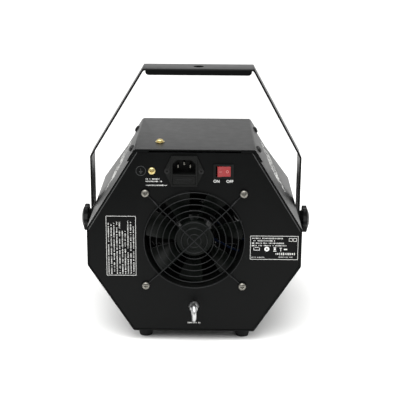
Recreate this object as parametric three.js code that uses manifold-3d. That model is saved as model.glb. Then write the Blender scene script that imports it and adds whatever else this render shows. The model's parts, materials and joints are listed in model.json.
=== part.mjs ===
// Bubble machine: an octagonal sheet-steel case on rubber feet, hung in a tilting yoke.
// Inside it a gear motor turns a wheel of wands through a fluid tank, and a mains fan in
// the rear panel blows through the wheel and out of the sloping mouth at the front.
// Millimetres, +Z up. The mouth faces -Y and the rear panel faces +Y. Left and right are
// those of a person who faces the mouth, so +X is right. The yoke pivots on the X axis.
// "Deep" measures are taken forward from the outer face of the rear panel.

import * as THREE from 'three';
import { mergeVertices } from 'three/addons/utils/BufferGeometryUtils.js';
import Module from 'manifold-3d';

const wasm = await Module();
wasm.setup();

// ---------------------------------------------------------------- driving dimensions

const FOOT_H = 12;
const REAR_Y = 106;
const CASE_DEPTH = 240;
const SHEET = 1.5;
const GAP = 0.3;

// right half of the case's outline: half width, height above its underside
const CASE_BOTTOM = [66.3, 0];
const CASE_SIDE_LOW = [115.9, 76.4];
const CASE_SIDE_HIGH = [115.9, 118.8];
const CASE_TOP = [62.8, 204.6];
const TOP_RETURN = 14;

const LID_DEPTH = 154;
const LID_FLANGE = 15;
const LID_SCREW_DEEP = [34, 128];
const LID_SCREW_DOWN = 9;

const MOUTH_TOP = 173;
const MOUTH_SILL = 87;
const SILL_LIP = 8;

const PANEL_RECESS = 0.6;
const PANEL_RIM = 13;

const FAN_Z = 106.2;
const FAN_SIZE = 119.4;
const FAN_DEPTH = 38;
const FAN_SCREW = 52.5;
const FAN_BORE_R = 56.5;
const FAN_HOLE_R = 54.6;
const FAN_TIP_R = 52.6;
const FAN_HUB_R = 20;
const FAN_BLADES = 7;
const FAN_FIRST_BLADE = 14;

const GUARD_RINGS = 8;
const GUARD_RING_STEP = 6.7;
const GUARD_INNER_R = 7.3;
const GUARD_WIRE_R = 0.9;
const GUARD_STAND_OFF = 4.2;

const INLET_X = 11.2;
const INLET_Z = 183.2;
const INLET_SCREW = 18;
const CAVITY = { width: 24.4, height: 16, deep: 15.5, up: 4.7, chamfer: 4.5 };
const INLET_PROUD = 3.4;
const PIN = { width: 2, height: 4, tipDeep: 2.4 };
const DRAWER = { width: 23.8, height: 9.2, deep: 17, down: 9.8 };

const SWITCH_X = -30.5;
const SWITCH_Z = 183;
const ROCKER = { width: 14, height: 11.2, tilt: 8, crown: 4, pivot: 2.2 };

const EARTH_SCREW = [45.3, 182.8];
const TOP_SCREW = [38.1, 32.5];

const EYE_Z = 29.5;
const EYE_RING_R = 8.1;
const EYE_WIRE_R = 2.1;
const EYE_REACH = 28;
const EYE_TURN = 6;

const PIVOT_Z = 97.4;
const YOKE_SHEET = 2;
const YOKE_WIDTH = 36.5;
const YOKE_HALF = 120.6;
const YOKE_BEND_Z = 176.1;
const YOKE_TOP_HALF = 62.4;
const YOKE_TOP_Z = 276.6;
const YOKE_TOP_SHIFT = -2.6;
const YOKE_FLANGE = 7;
const YOKE_HOLE_R = 6;
const KNOB_R = 16;
const STUD_R = 3;

const FOOT_X = 54;
const FOOT_DEEP = 19;
const FOOT_TOP_R = 9.3;
const FOOT_LOW_R = 7.2;

const BULKHEAD_DEEP = 86;
const BULKHEAD_HOLE_R = 60;
const MOTOR_R = 25;
const SHAFT_R = 3.5;

const WHEEL_DEEP = 103;
const WANDS = 8;
const WAND_RADIUS = 57;
const WAND_R = 17;
const WAND_BORE_R = 13;
const WAND_THICK = 7;
const WHEEL_WEB = 3;

const TANK_TOP = 70;
const TANK_WALL = 2;
const TANK_DEEP = [92, 235];

// ------------------------------------------------------------------------- materials

function finish(color, roughness, metalness) {
  return () => new THREE.MeshStandardMaterial({ color, roughness, metalness });
}

const blackPaint = finish(0x17181a, 0.5, 0.2);
const blackPlastic = finish(0x101112, 0.45, 0);
const blackWire = finish(0x1a1b1c, 0.4, 0.4);
const rubber = finish(0x141414, 0.85, 0);
const zinc = finish(0xb9babb, 0.35, 1);
const brass = finish(0xc9a94f, 0.3, 1);
const nickel = finish(0xd9d9d6, 0.25, 1);
const redPlastic = finish(0xb23a3a, 0.3, 0);
const whitePlastic = finish(0xe6e4da, 0.5, 0);
const glass = finish(0xcfd8dc, 0.1, 0);
const blueWire = finish(0x2a4f8f, 0.5, 0);
const brownWire = finish(0x5d3a24, 0.5, 0);

// ------------------------------------------------------------------- shape functions

const AXIS_X = new THREE.Vector3(1, 0, 0);
const AXIS_Y = new THREE.Vector3(0, 1, 0);
const AXIS_Z = new THREE.Vector3(0, 0, 1);
const FORWARD = new THREE.Matrix4().makeBasis(AXIS_X, AXIS_Z, AXIS_Y.clone().negate());
const ACROSS = new THREE.Matrix4().makeBasis(AXIS_Y, AXIS_Z, AXIS_X);

function solid(geometry) {
  const bare = geometry.clone();
  bare.deleteAttribute('normal');
  bare.deleteAttribute('uv');
  const merged = mergeVertices(bare, 1e-4);
  return new wasm.Manifold(new wasm.Mesh({
    numProp: 3,
    vertProperties: Float32Array.from(merged.attributes.position.array),
    triVerts: Uint32Array.from(merged.index.array),
  }));
}

function joined(geometries) {
  return geometries.map(solid).reduce((whole, piece) => whole.add(piece));
}

function cut(whole, geometries) {
  return geometries.map(solid).reduce((left, piece) => left.subtract(piece), whole);
}

function surface(manifold) {
  const mesh = manifold.getMesh();
  const geometry = new THREE.BufferGeometry();
  geometry.setAttribute('position', new THREE.BufferAttribute(mesh.vertProperties, 3));
  geometry.setIndex(new THREE.BufferAttribute(mesh.triVerts, 1));
  return geometry;
}

function prism(outline, length, holes = []) {
  const shape = outline instanceof THREE.Shape ? outline : new THREE.Shape(outline);
  shape.holes = holes;
  return new THREE.ExtrudeGeometry(shape, { depth: length, bevelEnabled: false, curveSegments: 12 });
}

// an outline of x and z, drawn forward from one depth to another
function deepPrism(outline, from, to, holes = []) {
  return prism(outline, to - from, holes).applyMatrix4(FORWARD).translate(0, REAR_Y - from, 0);
}

// an outline of y and z, drawn across the machine
function acrossPrism(outline, from, to) {
  return prism(outline, to - from).applyMatrix4(ACROSS).translate(from, 0, 0);
}

function box(from, to) {
  const size = to.map((value, i) => value - from[i]);
  const middle = to.map((value, i) => (value + from[i]) / 2);
  return new THREE.BoxGeometry(...size).translate(...middle);
}

// a round bar from one point to another
function bar(radius, from, to, sides = 12) {
  const start = new THREE.Vector3(...from);
  const run = new THREE.Vector3(...to).sub(start);
  const rod = new THREE.CylinderGeometry(radius, radius, run.length(), sides);
  rod.translate(0, run.length() / 2, 0);
  rod.applyQuaternion(new THREE.Quaternion().setFromUnitVectors(AXIS_Y, run.clone().normalize()));
  return rod.translate(...from);
}

// a profile of radius and y, turned round the Y axis, with its faces outwards either way round
function lathe(profile, sides = 12) {
  const points = profile.map(([r, y]) => new THREE.Vector2(r, y));
  if (THREE.ShapeUtils.area(points) < 0) points.reverse();
  return new THREE.LatheGeometry(points, sides);
}

// a round hole in an outline
function hole(x, y, radius, sides = 12) {
  const path = new THREE.Path();
  for (let i = 0; i < sides; i += 1) {
    const angle = (i / sides) * 2 * Math.PI;
    const point = [x + radius * Math.cos(angle), y + radius * Math.sin(angle)];
    if (i === 0) path.moveTo(...point);
    else path.lineTo(...point);
  }
  path.closePath();
  return path;
}

function boxHole(x, y, width, height) {
  const corners = [[-1, -1], [1, -1], [1, 1], [-1, 1]];
  return new THREE.Path(corners.map(([i, j]) => new THREE.Vector2(x + i * width / 2, y + j * height / 2)));
}

// moves a line of points to its left by a distance, with mitred corners
function offset(points, distance, closed = false) {
  const count = points.length;
  return points.map((point, i) => {
    const before = closed || i > 0 ? points[(i + count - 1) % count] : null;
    const after = closed || i < count - 1 ? points[(i + 1) % count] : null;
    const into = before ? point.clone().sub(before).normalize() : null;
    const out = after ? after.clone().sub(point).normalize() : null;
    const sum = (into ?? out).clone().add(out ?? into);
    const side = new THREE.Vector2(-sum.y, sum.x);
    return point.clone().addScaledVector(side, (2 * distance) / side.lengthSq());
  });
}

// the section of a folded sheet, whose thickness lies to the left of its outer line
function foldedSheet(line, thickness) {
  return [...line, ...offset(line, thickness).reverse()];
}

// a half outline made whole, anticlockwise from the right side's first point
function mirrored(half) {
  const right = half.map(([x, z]) => new THREE.Vector2(x, z + FOOT_H));
  const left = [...right].reverse().map((p) => new THREE.Vector2(-p.x, p.y));
  return [...right, ...left];
}

function wire(points, radius, sides, steps) {
  const curve = new THREE.CatmullRomCurve3(points.map((p) => new THREE.Vector3(...p)));
  const section = new THREE.Shape(hole(0, 0, radius, sides).getPoints().slice(0, sides));
  return new THREE.ExtrudeGeometry(section, { steps, extrudePath: curve, bevelEnabled: false });
}

// ------------------------------------------------------------------------- the group

const machine = new THREE.Group();

function add(name, shape, material, position = [0, 0, 0], parent = machine) {
  const geometry = shape instanceof THREE.BufferGeometry ? shape : surface(shape);
  const mesh = new THREE.Mesh(geometry, material());
  mesh.name = name;
  mesh.position.set(...position);
  parent.add(mesh);
  return mesh;
}

// ------------------------------------------------------------------- screws and nuts

// head up, with the seat of the head at y = 0
function panHead(headR, headH, shankR, length) {
  return lathe([
    [0, headH], [headR * 0.55, headH], [headR * 0.9, headH * 0.6], [headR, 0],
    [shankR, 0], [shankR, -length], [0, -length],
  ]);
}

function countersunk(headR, headH, shankR, length) {
  return lathe([[0, 0], [headR, 0], [shankR, -headH], [shankR, -length], [0, -length]]);
}

function ring(outerR, innerR, height, sides = 16) {
  return lathe([[innerR, 0], [outerR, 0], [outerR, height], [innerR, height], [innerR, 0]], sides);
}

// ---------------------------------------------------------------------------- casing

const caseHalf = [CASE_BOTTOM, CASE_SIDE_LOW, CASE_SIDE_HIGH, CASE_TOP];
const caseOutline = mirrored(caseHalf);
const slopeUp = new THREE.Vector2(CASE_TOP[0] - CASE_SIDE_HIGH[0], CASE_TOP[1] - CASE_SIDE_HIGH[1]).normalize();
const slopeOut = new THREE.Vector2(slopeUp.y, -slopeUp.x);
const lidTop = CASE_TOP[1] + GAP + SHEET;
const lidCorner = lidCornerPoint();

function lidCornerPoint() {
  const point = new THREE.Vector2(...CASE_TOP).addScaledVector(slopeOut, GAP + SHEET);
  return point.addScaledVector(slopeUp, (lidTop - point.y) / slopeUp.y);
}

function pivotHoles(radius) {
  const z = PIVOT_Z + FOOT_H;
  return bar(radius, [-140, 0, z], [140, 0, z], 16);
}

function lidScrewSeat(side) {
  const point = lidCorner.clone().addScaledVector(slopeUp, -LID_SCREW_DOWN);
  return { x: side * point.x, z: point.y + FOOT_H, out: new THREE.Vector3(side * slopeOut.x, 0, slopeOut.y) };
}

function lidScrewHoles(radius) {
  const drills = [];
  for (const side of [-1, 1]) {
    for (const deep of LID_SCREW_DEEP) {
      const seat = lidScrewSeat(side);
      const reach = seat.out.clone().multiplyScalar(12);
      const y = REAR_Y - deep;
      drills.push(bar(radius, [seat.x - reach.x, y, seat.z - reach.z], [seat.x + reach.x, y, seat.z + reach.z]));
    }
  }
  return drills;
}

// one sheet folded round the bottom, sides and slopes, with a return under the lid
function caseShell() {
  const returnEnd = new THREE.Vector2(-CASE_TOP[0] + TOP_RETURN, CASE_TOP[1] + FOOT_H);
  const right = caseOutline.slice(0, 4);
  const left = caseOutline.slice(4);
  const line = [returnEnd, ...left, ...right, new THREE.Vector2(-returnEnd.x, returnEnd.y)];
  const sheet = solid(deepPrism(foldedSheet(line, SHEET), 0, CASE_DEPTH));
  const front = REAR_Y - LID_DEPTH;
  const sill = REAR_Y - CASE_DEPTH;
  const far = sill - 20;
  const roof = 260;
  const mouth = [
    [front, roof], [front, MOUTH_TOP + FOOT_H], [sill, MOUTH_SILL + FOOT_H], [far, MOUTH_SILL + FOOT_H], [far, roof],
  ].map((p) => new THREE.Vector2(...p));
  const footHoles = footPlaces().map(([x, y]) => bar(2.4, [x, y, FOOT_H - 2], [x, y, FOOT_H + 4]));
  return cut(sheet, [acrossPrism(mouth, -150, 150), pivotHoles(STUD_R + GAP), ...lidScrewHoles(2), ...footHoles]);
}

function lid() {
  const flangeEnd = lidCorner.clone().addScaledVector(slopeUp, -LID_FLANGE);
  const line = mirrored([flangeEnd.toArray(), lidCorner.toArray()]);
  const sheet = solid(deepPrism(foldedSheet(line, SHEET), 0, LID_DEPTH));
  const top = lidTop + FOOT_H;
  const y = REAR_Y - TOP_SCREW[1];
  const screwHole = bar(2.3, [TOP_SCREW[0], y, top - 4], [TOP_SCREW[0], y, top + 4]);
  return cut(sheet, [...lidScrewHoles(2.3), screwHole]);
}

// a shallow tray: the panel and the rim that lies inside the shell
function rearPanel() {
  const outer = offset(caseOutline, SHEET + GAP, true);
  const inner = offset(caseOutline, 2 * SHEET + GAP, true);
  const fanZ = FAN_Z + FOOT_H;
  const row = (point) => [point[0], point[1] + FOOT_H];
  const openings = [
    hole(0, fanZ, FAN_HOLE_R, 40),
    boxHole(INLET_X, INLET_Z + FOOT_H, 27.4, 31.4),
    boxHole(SWITCH_X, SWITCH_Z + FOOT_H, 19.6, 13.2),
    hole(...row(EARTH_SCREW), 2.3),
    hole(0, EYE_Z + FOOT_H, 3.4),
  ];
  for (const side of [-1, 1]) openings.push(hole(INLET_X + side * INLET_SCREW, INLET_Z + FOOT_H, 1.9));
  for (const [x, z] of fanCorners()) openings.push(hole(x, z, 2.3));
  const plate = deepPrism(outer, PANEL_RECESS, PANEL_RECESS + SHEET, openings);
  const rim = deepPrism(outer, PANEL_RECESS + SHEET / 2, PANEL_RIM, [new THREE.Path(inner)]);
  return joined([plate, rim]);
}

// the wall under the mouth, with a lip folded back along its top edge
function frontPanel() {
  const outer = offset(caseOutline, SHEET + GAP, true);
  const sill = MOUTH_SILL + FOOT_H;
  const half = outer[1].x;
  const outline = [outer[0], outer[1], new THREE.Vector2(half, sill), new THREE.Vector2(-half, sill), outer[6], outer[7]];
  const wall = deepPrism(outline, CASE_DEPTH - 0.3 - SHEET, CASE_DEPTH - 0.3);
  const back = REAR_Y - CASE_DEPTH + 1;
  const lip = box([-half, back, sill - SHEET], [half, back + SILL_LIP, sill]);
  return joined([wall, lip]);
}

function bulkhead() {
  const outline = offset(caseOutline, SHEET + GAP, true);
  const z = FAN_Z + FOOT_H;
  return deepPrism(outline, BULKHEAD_DEEP, BULKHEAD_DEEP + SHEET, [hole(0, z, BULKHEAD_HOLE_R, 40)]);
}

// ------------------------------------------------------------------------------- fan

function fanCorners() {
  const corners = [[1, 1], [-1, 1], [-1, -1], [1, -1]];
  return corners.map(([i, j]) => [i * FAN_SCREW, FAN_Z + FOOT_H + j * FAN_SCREW]);
}

const FAN_FACE_DEEP = PANEL_RECESS + SHEET + GAP;
const ROTOR_DEEP = [FAN_FACE_DEEP + 2.5, FAN_FACE_DEEP + 30];

// square duct with four struts that carry the motor's seat
function fanFrame() {
  const z = FAN_Z + FOOT_H;
  const half = FAN_SIZE / 2;
  const from = FAN_FACE_DEEP;
  const to = from + FAN_DEPTH;
  const square = [[-half, z - half], [half, z - half], [half, z + half], [-half, z + half]];
  const holes = [hole(0, z, FAN_BORE_R, 40), ...fanCorners().map(([x, y]) => hole(x, y, 2.3, 8))];
  const duct = deepPrism(square.map((p) => new THREE.Vector2(...p)), from, to, holes);
  const seat = bar(22, [0, REAR_Y - to + 4, z], [0, REAR_Y - to, z], 24);
  const struts = [0, 1].map((i) => {
    const strut = box([-FAN_BORE_R - 1, -2, -2.5], [FAN_BORE_R + 1, 2, 2.5]);
    return strut.rotateY(Math.PI / 4 + i * Math.PI / 2).translate(0, REAR_Y - to + 2, z);
  });
  return joined([duct, seat, ...struts]);
}

// a blade is a curved strip whose section turns and widens on its way out from the hub
function fanBlade() {
  const root = FAN_HUB_R - 1.5;
  const length = FAN_TIP_R - root;
  const section = new THREE.Shape();
  section.moveTo(-1, -0.5);
  section.quadraticCurveTo(-0.2, 0.15, 1, 0.5);
  section.lineTo(1, 0.56);
  section.quadraticCurveTo(-0.2, 0.29, -1, -0.42);
  const blade = new THREE.ExtrudeGeometry(section, { depth: length, steps: 4, curveSegments: 4, bevelEnabled: false });
  const position = blade.attributes.position;
  const rotorDepth = ROTOR_DEEP[1] - ROTOR_DEEP[0] - 3;
  for (let i = 0; i < position.count; i += 1) {
    const out = position.getZ(i) / length;
    const radius = root + position.getZ(i);
    const angle = THREE.MathUtils.degToRad(17 * (position.getX(i) + 1) + 6 * out);
    const deep = rotorDepth * (0.5 + position.getY(i) * (0.96 - 0.22 * out));
    position.setXYZ(i, -radius * Math.sin(angle), -deep, radius * Math.cos(angle));
  }
  return blade;
}

// the rotor is centred on its own Y axis, with its intake face at y = 0
function fanRotor() {
  const depth = ROTOR_DEEP[1] - ROTOR_DEEP[0];
  const hub = lathe([[0, 0], [FAN_HUB_R - 2, 0], [FAN_HUB_R, -2], [FAN_HUB_R, -depth], [0, -depth]], 28);
  const blades = [];
  for (let i = 0; i < FAN_BLADES; i += 1) {
    const turn = THREE.MathUtils.degToRad(-FAN_FIRST_BLADE - (360 * i) / FAN_BLADES + 8);
    blades.push(fanBlade().translate(0, -1.5, 0).rotateY(turn));
  }
  return joined([hub, ...blades]);
}

// rings on two crossed wires, whose ends drop to loops that the corner screws hold
function fanGuard() {
  const loopY = 1.2;
  const pieces = [];
  for (let i = 0; i < GUARD_RINGS; i += 1) {
    const radius = GUARD_INNER_R + i * GUARD_RING_STEP;
    const sides = i < 3 ? 14 : 28;
    const hoop = new THREE.TorusGeometry(radius, GUARD_WIRE_R, 4, sides).rotateX(Math.PI / 2);
    pieces.push(hoop.translate(0, GUARD_STAND_OFF, 0));
  }
  const kneeR = 56.5;
  const loopR = FAN_SCREW * Math.SQRT2;
  for (let i = 0; i < 4; i += 1) {
    const turn = Math.PI / 4 + i * Math.PI / 2;
    const at = (radius, y) => [radius * Math.cos(turn), y, radius * Math.sin(turn)];
    const high = GUARD_STAND_OFF + 0.5;
    pieces.push(bar(1.1, at(-1, high), at(kneeR, high), 4));
    pieces.push(bar(1.1, at(kneeR - 0.6, high), at(loopR - 3.2, loopY), 4));
    const loop = new THREE.TorusGeometry(3.6, 1, 4, 8).rotateX(Math.PI / 2);
    pieces.push(loop.translate(...at(loopR, loopY)));
  }
  return joined(pieces);
}

// ------------------------------------------------------------- inlet, fuse and switch

function inletCavityOutline(grow = 0) {
  const half = CAVITY.width / 2 + grow;
  const top = CAVITY.up + CAVITY.height / 2 + grow;
  const low = CAVITY.up - CAVITY.height / 2 - grow;
  const step = CAVITY.chamfer;
  return [[-half, low], [half, low], [half, top - step], [half - step, top], [-half + step, top], [-half, top - step]]
    .map((p) => new THREE.Vector2(...p));
}

// local frame: y = 0 on the panel's outer face, +y outwards
function outward(outline, from, to) {
  return prism(outline, to - from).applyMatrix4(FORWARD).translate(0, to, 0);
}

function rectangle(width, height, x = 0, z = 0) {
  return [[-1, -1], [1, -1], [1, 1], [-1, 1]].map(([i, j]) => new THREE.Vector2(x + i * width / 2, z + j * height / 2));
}

// hexagonal flange, raised rectangle, and a body behind the panel
function inletBody() {
  const hexagon = [[13.2, -16.6], [21.2, 0], [13.2, 16.6], [-13.2, 16.6], [-21.2, 0], [-13.2, -16.6]]
    .map((p) => new THREE.Vector2(...p));
  const body = joined([
    outward(hexagon, 0.2, 2.2),
    outward(rectangle(27.5, 33), 1, INLET_PROUD),
    outward(rectangle(26.6, 30.6), -24, 2),
  ]);
  const screws = [-1, 1].map((side) => bar(1.8, [side * INLET_SCREW, -3, 0], [side * INLET_SCREW, 5, 0]));
  const sinks = [-1, 1].map((side) => countersunk(3.4, 1.9, 1.8, 4).translate(side * INLET_SCREW, 2.3, 0));
  return cut(body, [
    outward(inletCavityOutline(), INLET_PROUD - CAVITY.deep, 5),
    outward(rectangle(DRAWER.width + 2 * GAP, DRAWER.height + 2 * GAP, 0, -DRAWER.down), 3 - DRAWER.deep - 1, 5),
    ...screws,
    ...sinks,
  ]);
}

function inletPin() {
  const { width, height, tipDeep } = PIN;
  const root = INLET_PROUD - CAVITY.deep + GAP;
  return box([-width / 2, root, -height / 2], [width / 2, -tipDeep, height / 2]);
}

// drawer with an open pocket on top for the fuse, and a finger ledge at its face
function fuseDrawer() {
  const { width, height, deep } = DRAWER;
  const block = joined([
    box([-width / 2, -deep, -height / 2], [width / 2, 0, height / 2]),
    box([-width / 2 + 3, -0.5, -1.2], [width / 2 - 3, 0.8, 1.2]),
  ]);
  return cut(block, [box([-10.6, -11.5, -3.2], [10.6, -5, height])]);
}

function switchBody() {
  const body = joined([
    outward(rectangle(21.4, 15.2), 0.2, 2),
    outward(rectangle(18.8, 12.6), -20, 1),
  ]);
  return cut(body, [outward(rectangle(ROCKER.width + 2, ROCKER.height + 0.8), -9, 4)]);
}

// a bent bar whose two faces meet over its pivot; drawn level, pivot at the origin
function rockerKey() {
  const half = ROCKER.width / 2;
  const tilt = Math.tan(THREE.MathUtils.degToRad(ROCKER.tilt));
  const edge = ROCKER.crown + half * tilt;
  const outline = [[-half, 0.5], [0, -2], [half, 0.5], [half, edge], [0, ROCKER.crown], [-half, edge]]
    .map((p) => new THREE.Vector2(...p));
  return prism(outline, ROCKER.height).translate(0, 0, -ROCKER.height / 2);
}

// ------------------------------------------------------------------- eye bolt, feet

// the ring and shank turn about the bolt's axis; y = 0 on the panel
function eyeBolt() {
  const centre = EYE_REACH - EYE_RING_R - EYE_WIRE_R;
  const hoop = new THREE.TorusGeometry(EYE_RING_R, EYE_WIRE_R, 6, 16).rotateY(Math.PI / 2);
  const turned = hoop.rotateZ(THREE.MathUtils.degToRad(EYE_TURN));
  const shank = bar(3, [0, -14, 0], [0, centre - EYE_RING_R, 0], 12);
  const collar = bar(4.4, [0, 6.2, 0], [0, 9, 0], 12);
  return joined([turned.translate(0, centre, 0), shank, collar]);
}

function hexNut(acrossFlats, height, boreR) {
  const outerR = acrossFlats / Math.sqrt(3);
  const outline = Array.from({ length: 6 }, (_, i) => {
    const angle = (i * Math.PI) / 3;
    return new THREE.Vector2(outerR * Math.cos(angle), outerR * Math.sin(angle));
  });
  return prism(outline, height, [hole(0, 0, boreR)]).applyMatrix4(FORWARD).translate(0, height, 0);
}

function footPlaces() {
  const front = REAR_Y - CASE_DEPTH + FOOT_DEEP;
  const rear = REAR_Y - FOOT_DEEP;
  return [[-FOOT_X, front], [FOOT_X, front], [-FOOT_X, rear], [FOOT_X, rear]];
}

// tapered, with a well in its underside for the screw; z up, standing on z = 0
function foot() {
  const top = FOOT_H - 0.2;
  const profile = [
    [2.4, 4.5], [4.2, 4.5], [4.2, 0], [FOOT_LOW_R - 0.6, 0], [FOOT_LOW_R, 0.8], [FOOT_TOP_R, top], [2.4, top], [2.4, 4.5],
  ];
  return lathe(profile, 12).rotateX(Math.PI / 2);
}

// ------------------------------------------------------------------- yoke and knobs

const pivotZ = PIVOT_Z + FOOT_H;

// heights here are measured from the pivot, and the group is placed there
function yoke() {
  const bend = YOKE_BEND_Z - PIVOT_Z;
  const top = YOKE_TOP_Z - PIVOT_Z;
  const reach = YOKE_WIDTH / 2;
  const line = [
    [YOKE_HALF, -reach], [YOKE_HALF, bend],
    [YOKE_TOP_SHIFT + YOKE_TOP_HALF, top], [YOKE_TOP_SHIFT - YOKE_TOP_HALF, top],
    [-YOKE_HALF, bend], [-YOKE_HALF, -reach],
  ].map((p) => new THREE.Vector2(...p));
  const strip = solid(prism(foldedSheet(line, YOKE_SHEET), YOKE_WIDTH).applyMatrix4(FORWARD).translate(0, reach, 0));
  const side = new THREE.Shape();
  side.moveTo(reach, 0);
  side.lineTo(reach, top + 5);
  side.lineTo(-reach, top + 5);
  side.lineTo(-reach, 0);
  side.absarc(0, 0, reach, Math.PI, 2 * Math.PI, false);
  const rounded = strip.intersect(solid(acrossPrism(side, -130, 130)));
  const flanges = [-1, 1].map((face) => yokeFlange().translate(0, face * (reach - YOKE_SHEET / 2), top));
  const whole = flanges.map(solid).reduce((sum, flange) => sum.add(flange), rounded);
  const studHole = bar(STUD_R + GAP, [-130, 0, 0], [130, 0, 0]);
  const topHole = bar(YOKE_HOLE_R, [YOKE_TOP_SHIFT, 0, top - 5], [YOKE_TOP_SHIFT, 0, top + 5], 24);
  return cut(whole, [studHole, topHole]);
}

// a stiffening edge turned down along the crossbar, round at its lower corners
function yokeFlange() {
  const half = YOKE_TOP_HALF - 3;
  const round = 4;
  const outline = new THREE.Shape();
  outline.moveTo(-half, -0.5);
  outline.lineTo(-half, -YOKE_FLANGE + round);
  outline.absarc(-half + round, -YOKE_FLANGE + round, round, Math.PI, 1.5 * Math.PI, false);
  outline.lineTo(half - round, -YOKE_FLANGE);
  outline.absarc(half - round, -YOKE_FLANGE + round, round, 1.5 * Math.PI, 2 * Math.PI, false);
  outline.lineTo(half, -0.5);
  const plate = new THREE.ExtrudeGeometry(outline, { depth: YOKE_SHEET, bevelEnabled: false, curveSegments: 4 });
  return plate.applyMatrix4(FORWARD).translate(YOKE_TOP_SHIFT, YOKE_SHEET / 2, 0);
}

// six lobes on a boss that bears on the yoke; it turns about X, outward is +x
function starKnob() {
  const lobes = 6;
  const sides = 36;
  const outline = Array.from({ length: sides }, (_, i) => {
    const angle = (i / sides) * 2 * Math.PI;
    const radius = KNOB_R - 1.1 + 1.1 * Math.cos(lobes * angle);
    return new THREE.Vector2(radius * Math.cos(angle), radius * Math.sin(angle));
  });
  const grip = acrossPrism(outline, 4, 9.4);
  const dome = lathe([[0, 9], [13, 9], [11, 11], [6, 12.5], [0, 12.6]], 18).rotateZ(-Math.PI / 2);
  const boss = lathe([[0, 0], [8.5, 0], [11, 4.5], [0, 4.5]], 18).rotateZ(-Math.PI / 2);
  const body = joined([grip, dome, boss]);
  return cut(body, [bar(STUD_R + GAP, [-1, 0, 0], [7, 0, 0])]);
}

// ------------------------------------------------------------- motor, wheel and tank

// a hub and a web that shades the motor, with a ring of wands in the air that passes round it
function wandWheel() {
  const plug = (radius, out, angle, height, sides) => {
    const x = out * Math.sin(angle);
    const z = out * Math.cos(angle);
    return bar(radius, [x, -height / 2, z], [x, height / 2, z], sides);
  };
  const webR = WAND_RADIUS - WAND_R + 1.5;
  const bodies = [plug(13, 0, 0, 12, 24), plug(webR, 0, 0, WHEEL_WEB, 32)];
  const bores = [plug(SHAFT_R + GAP, 0, 0, 16, 12)];
  for (let i = 0; i < WANDS; i += 1) {
    const angle = (i / WANDS) * 2 * Math.PI;
    bodies.push(plug(WAND_R, WAND_RADIUS, angle, WAND_THICK, 20));
    bores.push(plug(WAND_BORE_R, WAND_RADIUS, angle, WAND_THICK + 2, 20));
  }
  return cut(joined(bodies), bores);
}

function gearMotor() {
  return lathe([
    [0, 22], [MOTOR_R, 22], [MOTOR_R, 4], [MOTOR_R - 2, 4], [MOTOR_R - 2, 0],
    [SHAFT_R + GAP, 0], [SHAFT_R + GAP, 12], [0, 12],
  ], 20);
}

function motorBracket() {
  const strap = box([-13, 0, -72], [13, 2, 72]);
  return cut(solid(strap), [bar(4.6, [0, -2, 0], [0, 4, 0], 16)]);
}

// half width of the case's lower slope at a height, pulled in by a distance square to it
function lowerHalfWidth(height, inset) {
  const run = CASE_SIDE_LOW[0] - CASE_BOTTOM[0];
  const rise = CASE_SIDE_LOW[1];
  return CASE_BOTTOM[0] + (run * height) / rise - (inset * Math.hypot(run, rise)) / rise;
}

function tankOutline(inset, floor, top) {
  const low = lowerHalfWidth(floor, inset);
  const high = lowerHalfWidth(top, inset);
  return [[-low, floor], [low, floor], [high, top], [-high, top]].map(([x, z]) => new THREE.Vector2(x, z + FOOT_H));
}

function fluidTank() {
  const inset = 3.2;
  const block = solid(deepPrism(tankOutline(inset, 4.4, TANK_TOP), TANK_DEEP[0], TANK_DEEP[1]));
  const well = tankOutline(inset + TANK_WALL, 4.4 + TANK_WALL, TANK_TOP + 5);
  return cut(block, [deepPrism(well, TANK_DEEP[0] + TANK_WALL, TANK_DEEP[1] - TANK_WALL)]);
}

// ------------------------------------------------------------------------ assembling

function addCasing() {
  add('case_shell', caseShell(), blackPaint);
  add('lid', lid(), blackPaint);
  add('rear_panel', rearPanel(), blackPaint);
  add('front_panel', frontPanel(), blackPaint);
  add('bulkhead', bulkhead(), zinc);
  for (const side of [-1, 1]) {
    const hand = side < 0 ? 'left' : 'right';
    LID_SCREW_DEEP.forEach((deep, i) => {
      const seat = lidScrewSeat(side);
      const name = `lid_screw_${hand}_${i === 0 ? 'rear' : 'front'}`;
      const place = [seat.x + 0.1 * seat.out.x, REAR_Y - deep, seat.z + 0.1 * seat.out.z];
      add(name, panHead(4, 2.6, 1.6, 7), blackPaint, place).quaternion.setFromUnitVectors(AXIS_Y, seat.out);
    });
  }
  const [x, deep] = TOP_SCREW;
  const top = lidTop + FOOT_H;
  add('lid_terminal_washer', ring(5, 2.3, 0.8), brass, [x, REAR_Y - deep, top + 0.1]).rotation.x = Math.PI / 2;
  add('lid_terminal_screw', panHead(3.8, 2.6, 1.9, 7), brass, [x, REAR_Y - deep, top + 1]).rotation.x = Math.PI / 2;
}

function addFeet() {
  const names = ['front_left', 'front_right', 'rear_left', 'rear_right'];
  footPlaces().forEach(([x, y], i) => {
    add(`foot_${names[i]}`, foot(), rubber, [x, y, 0]);
    const screw = panHead(3.9, 2.4, 2, 11);
    add(`foot_screw_${names[i]}`, screw, zinc, [x, y, 4.2]).rotation.x = -Math.PI / 2;
  });
}

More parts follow.
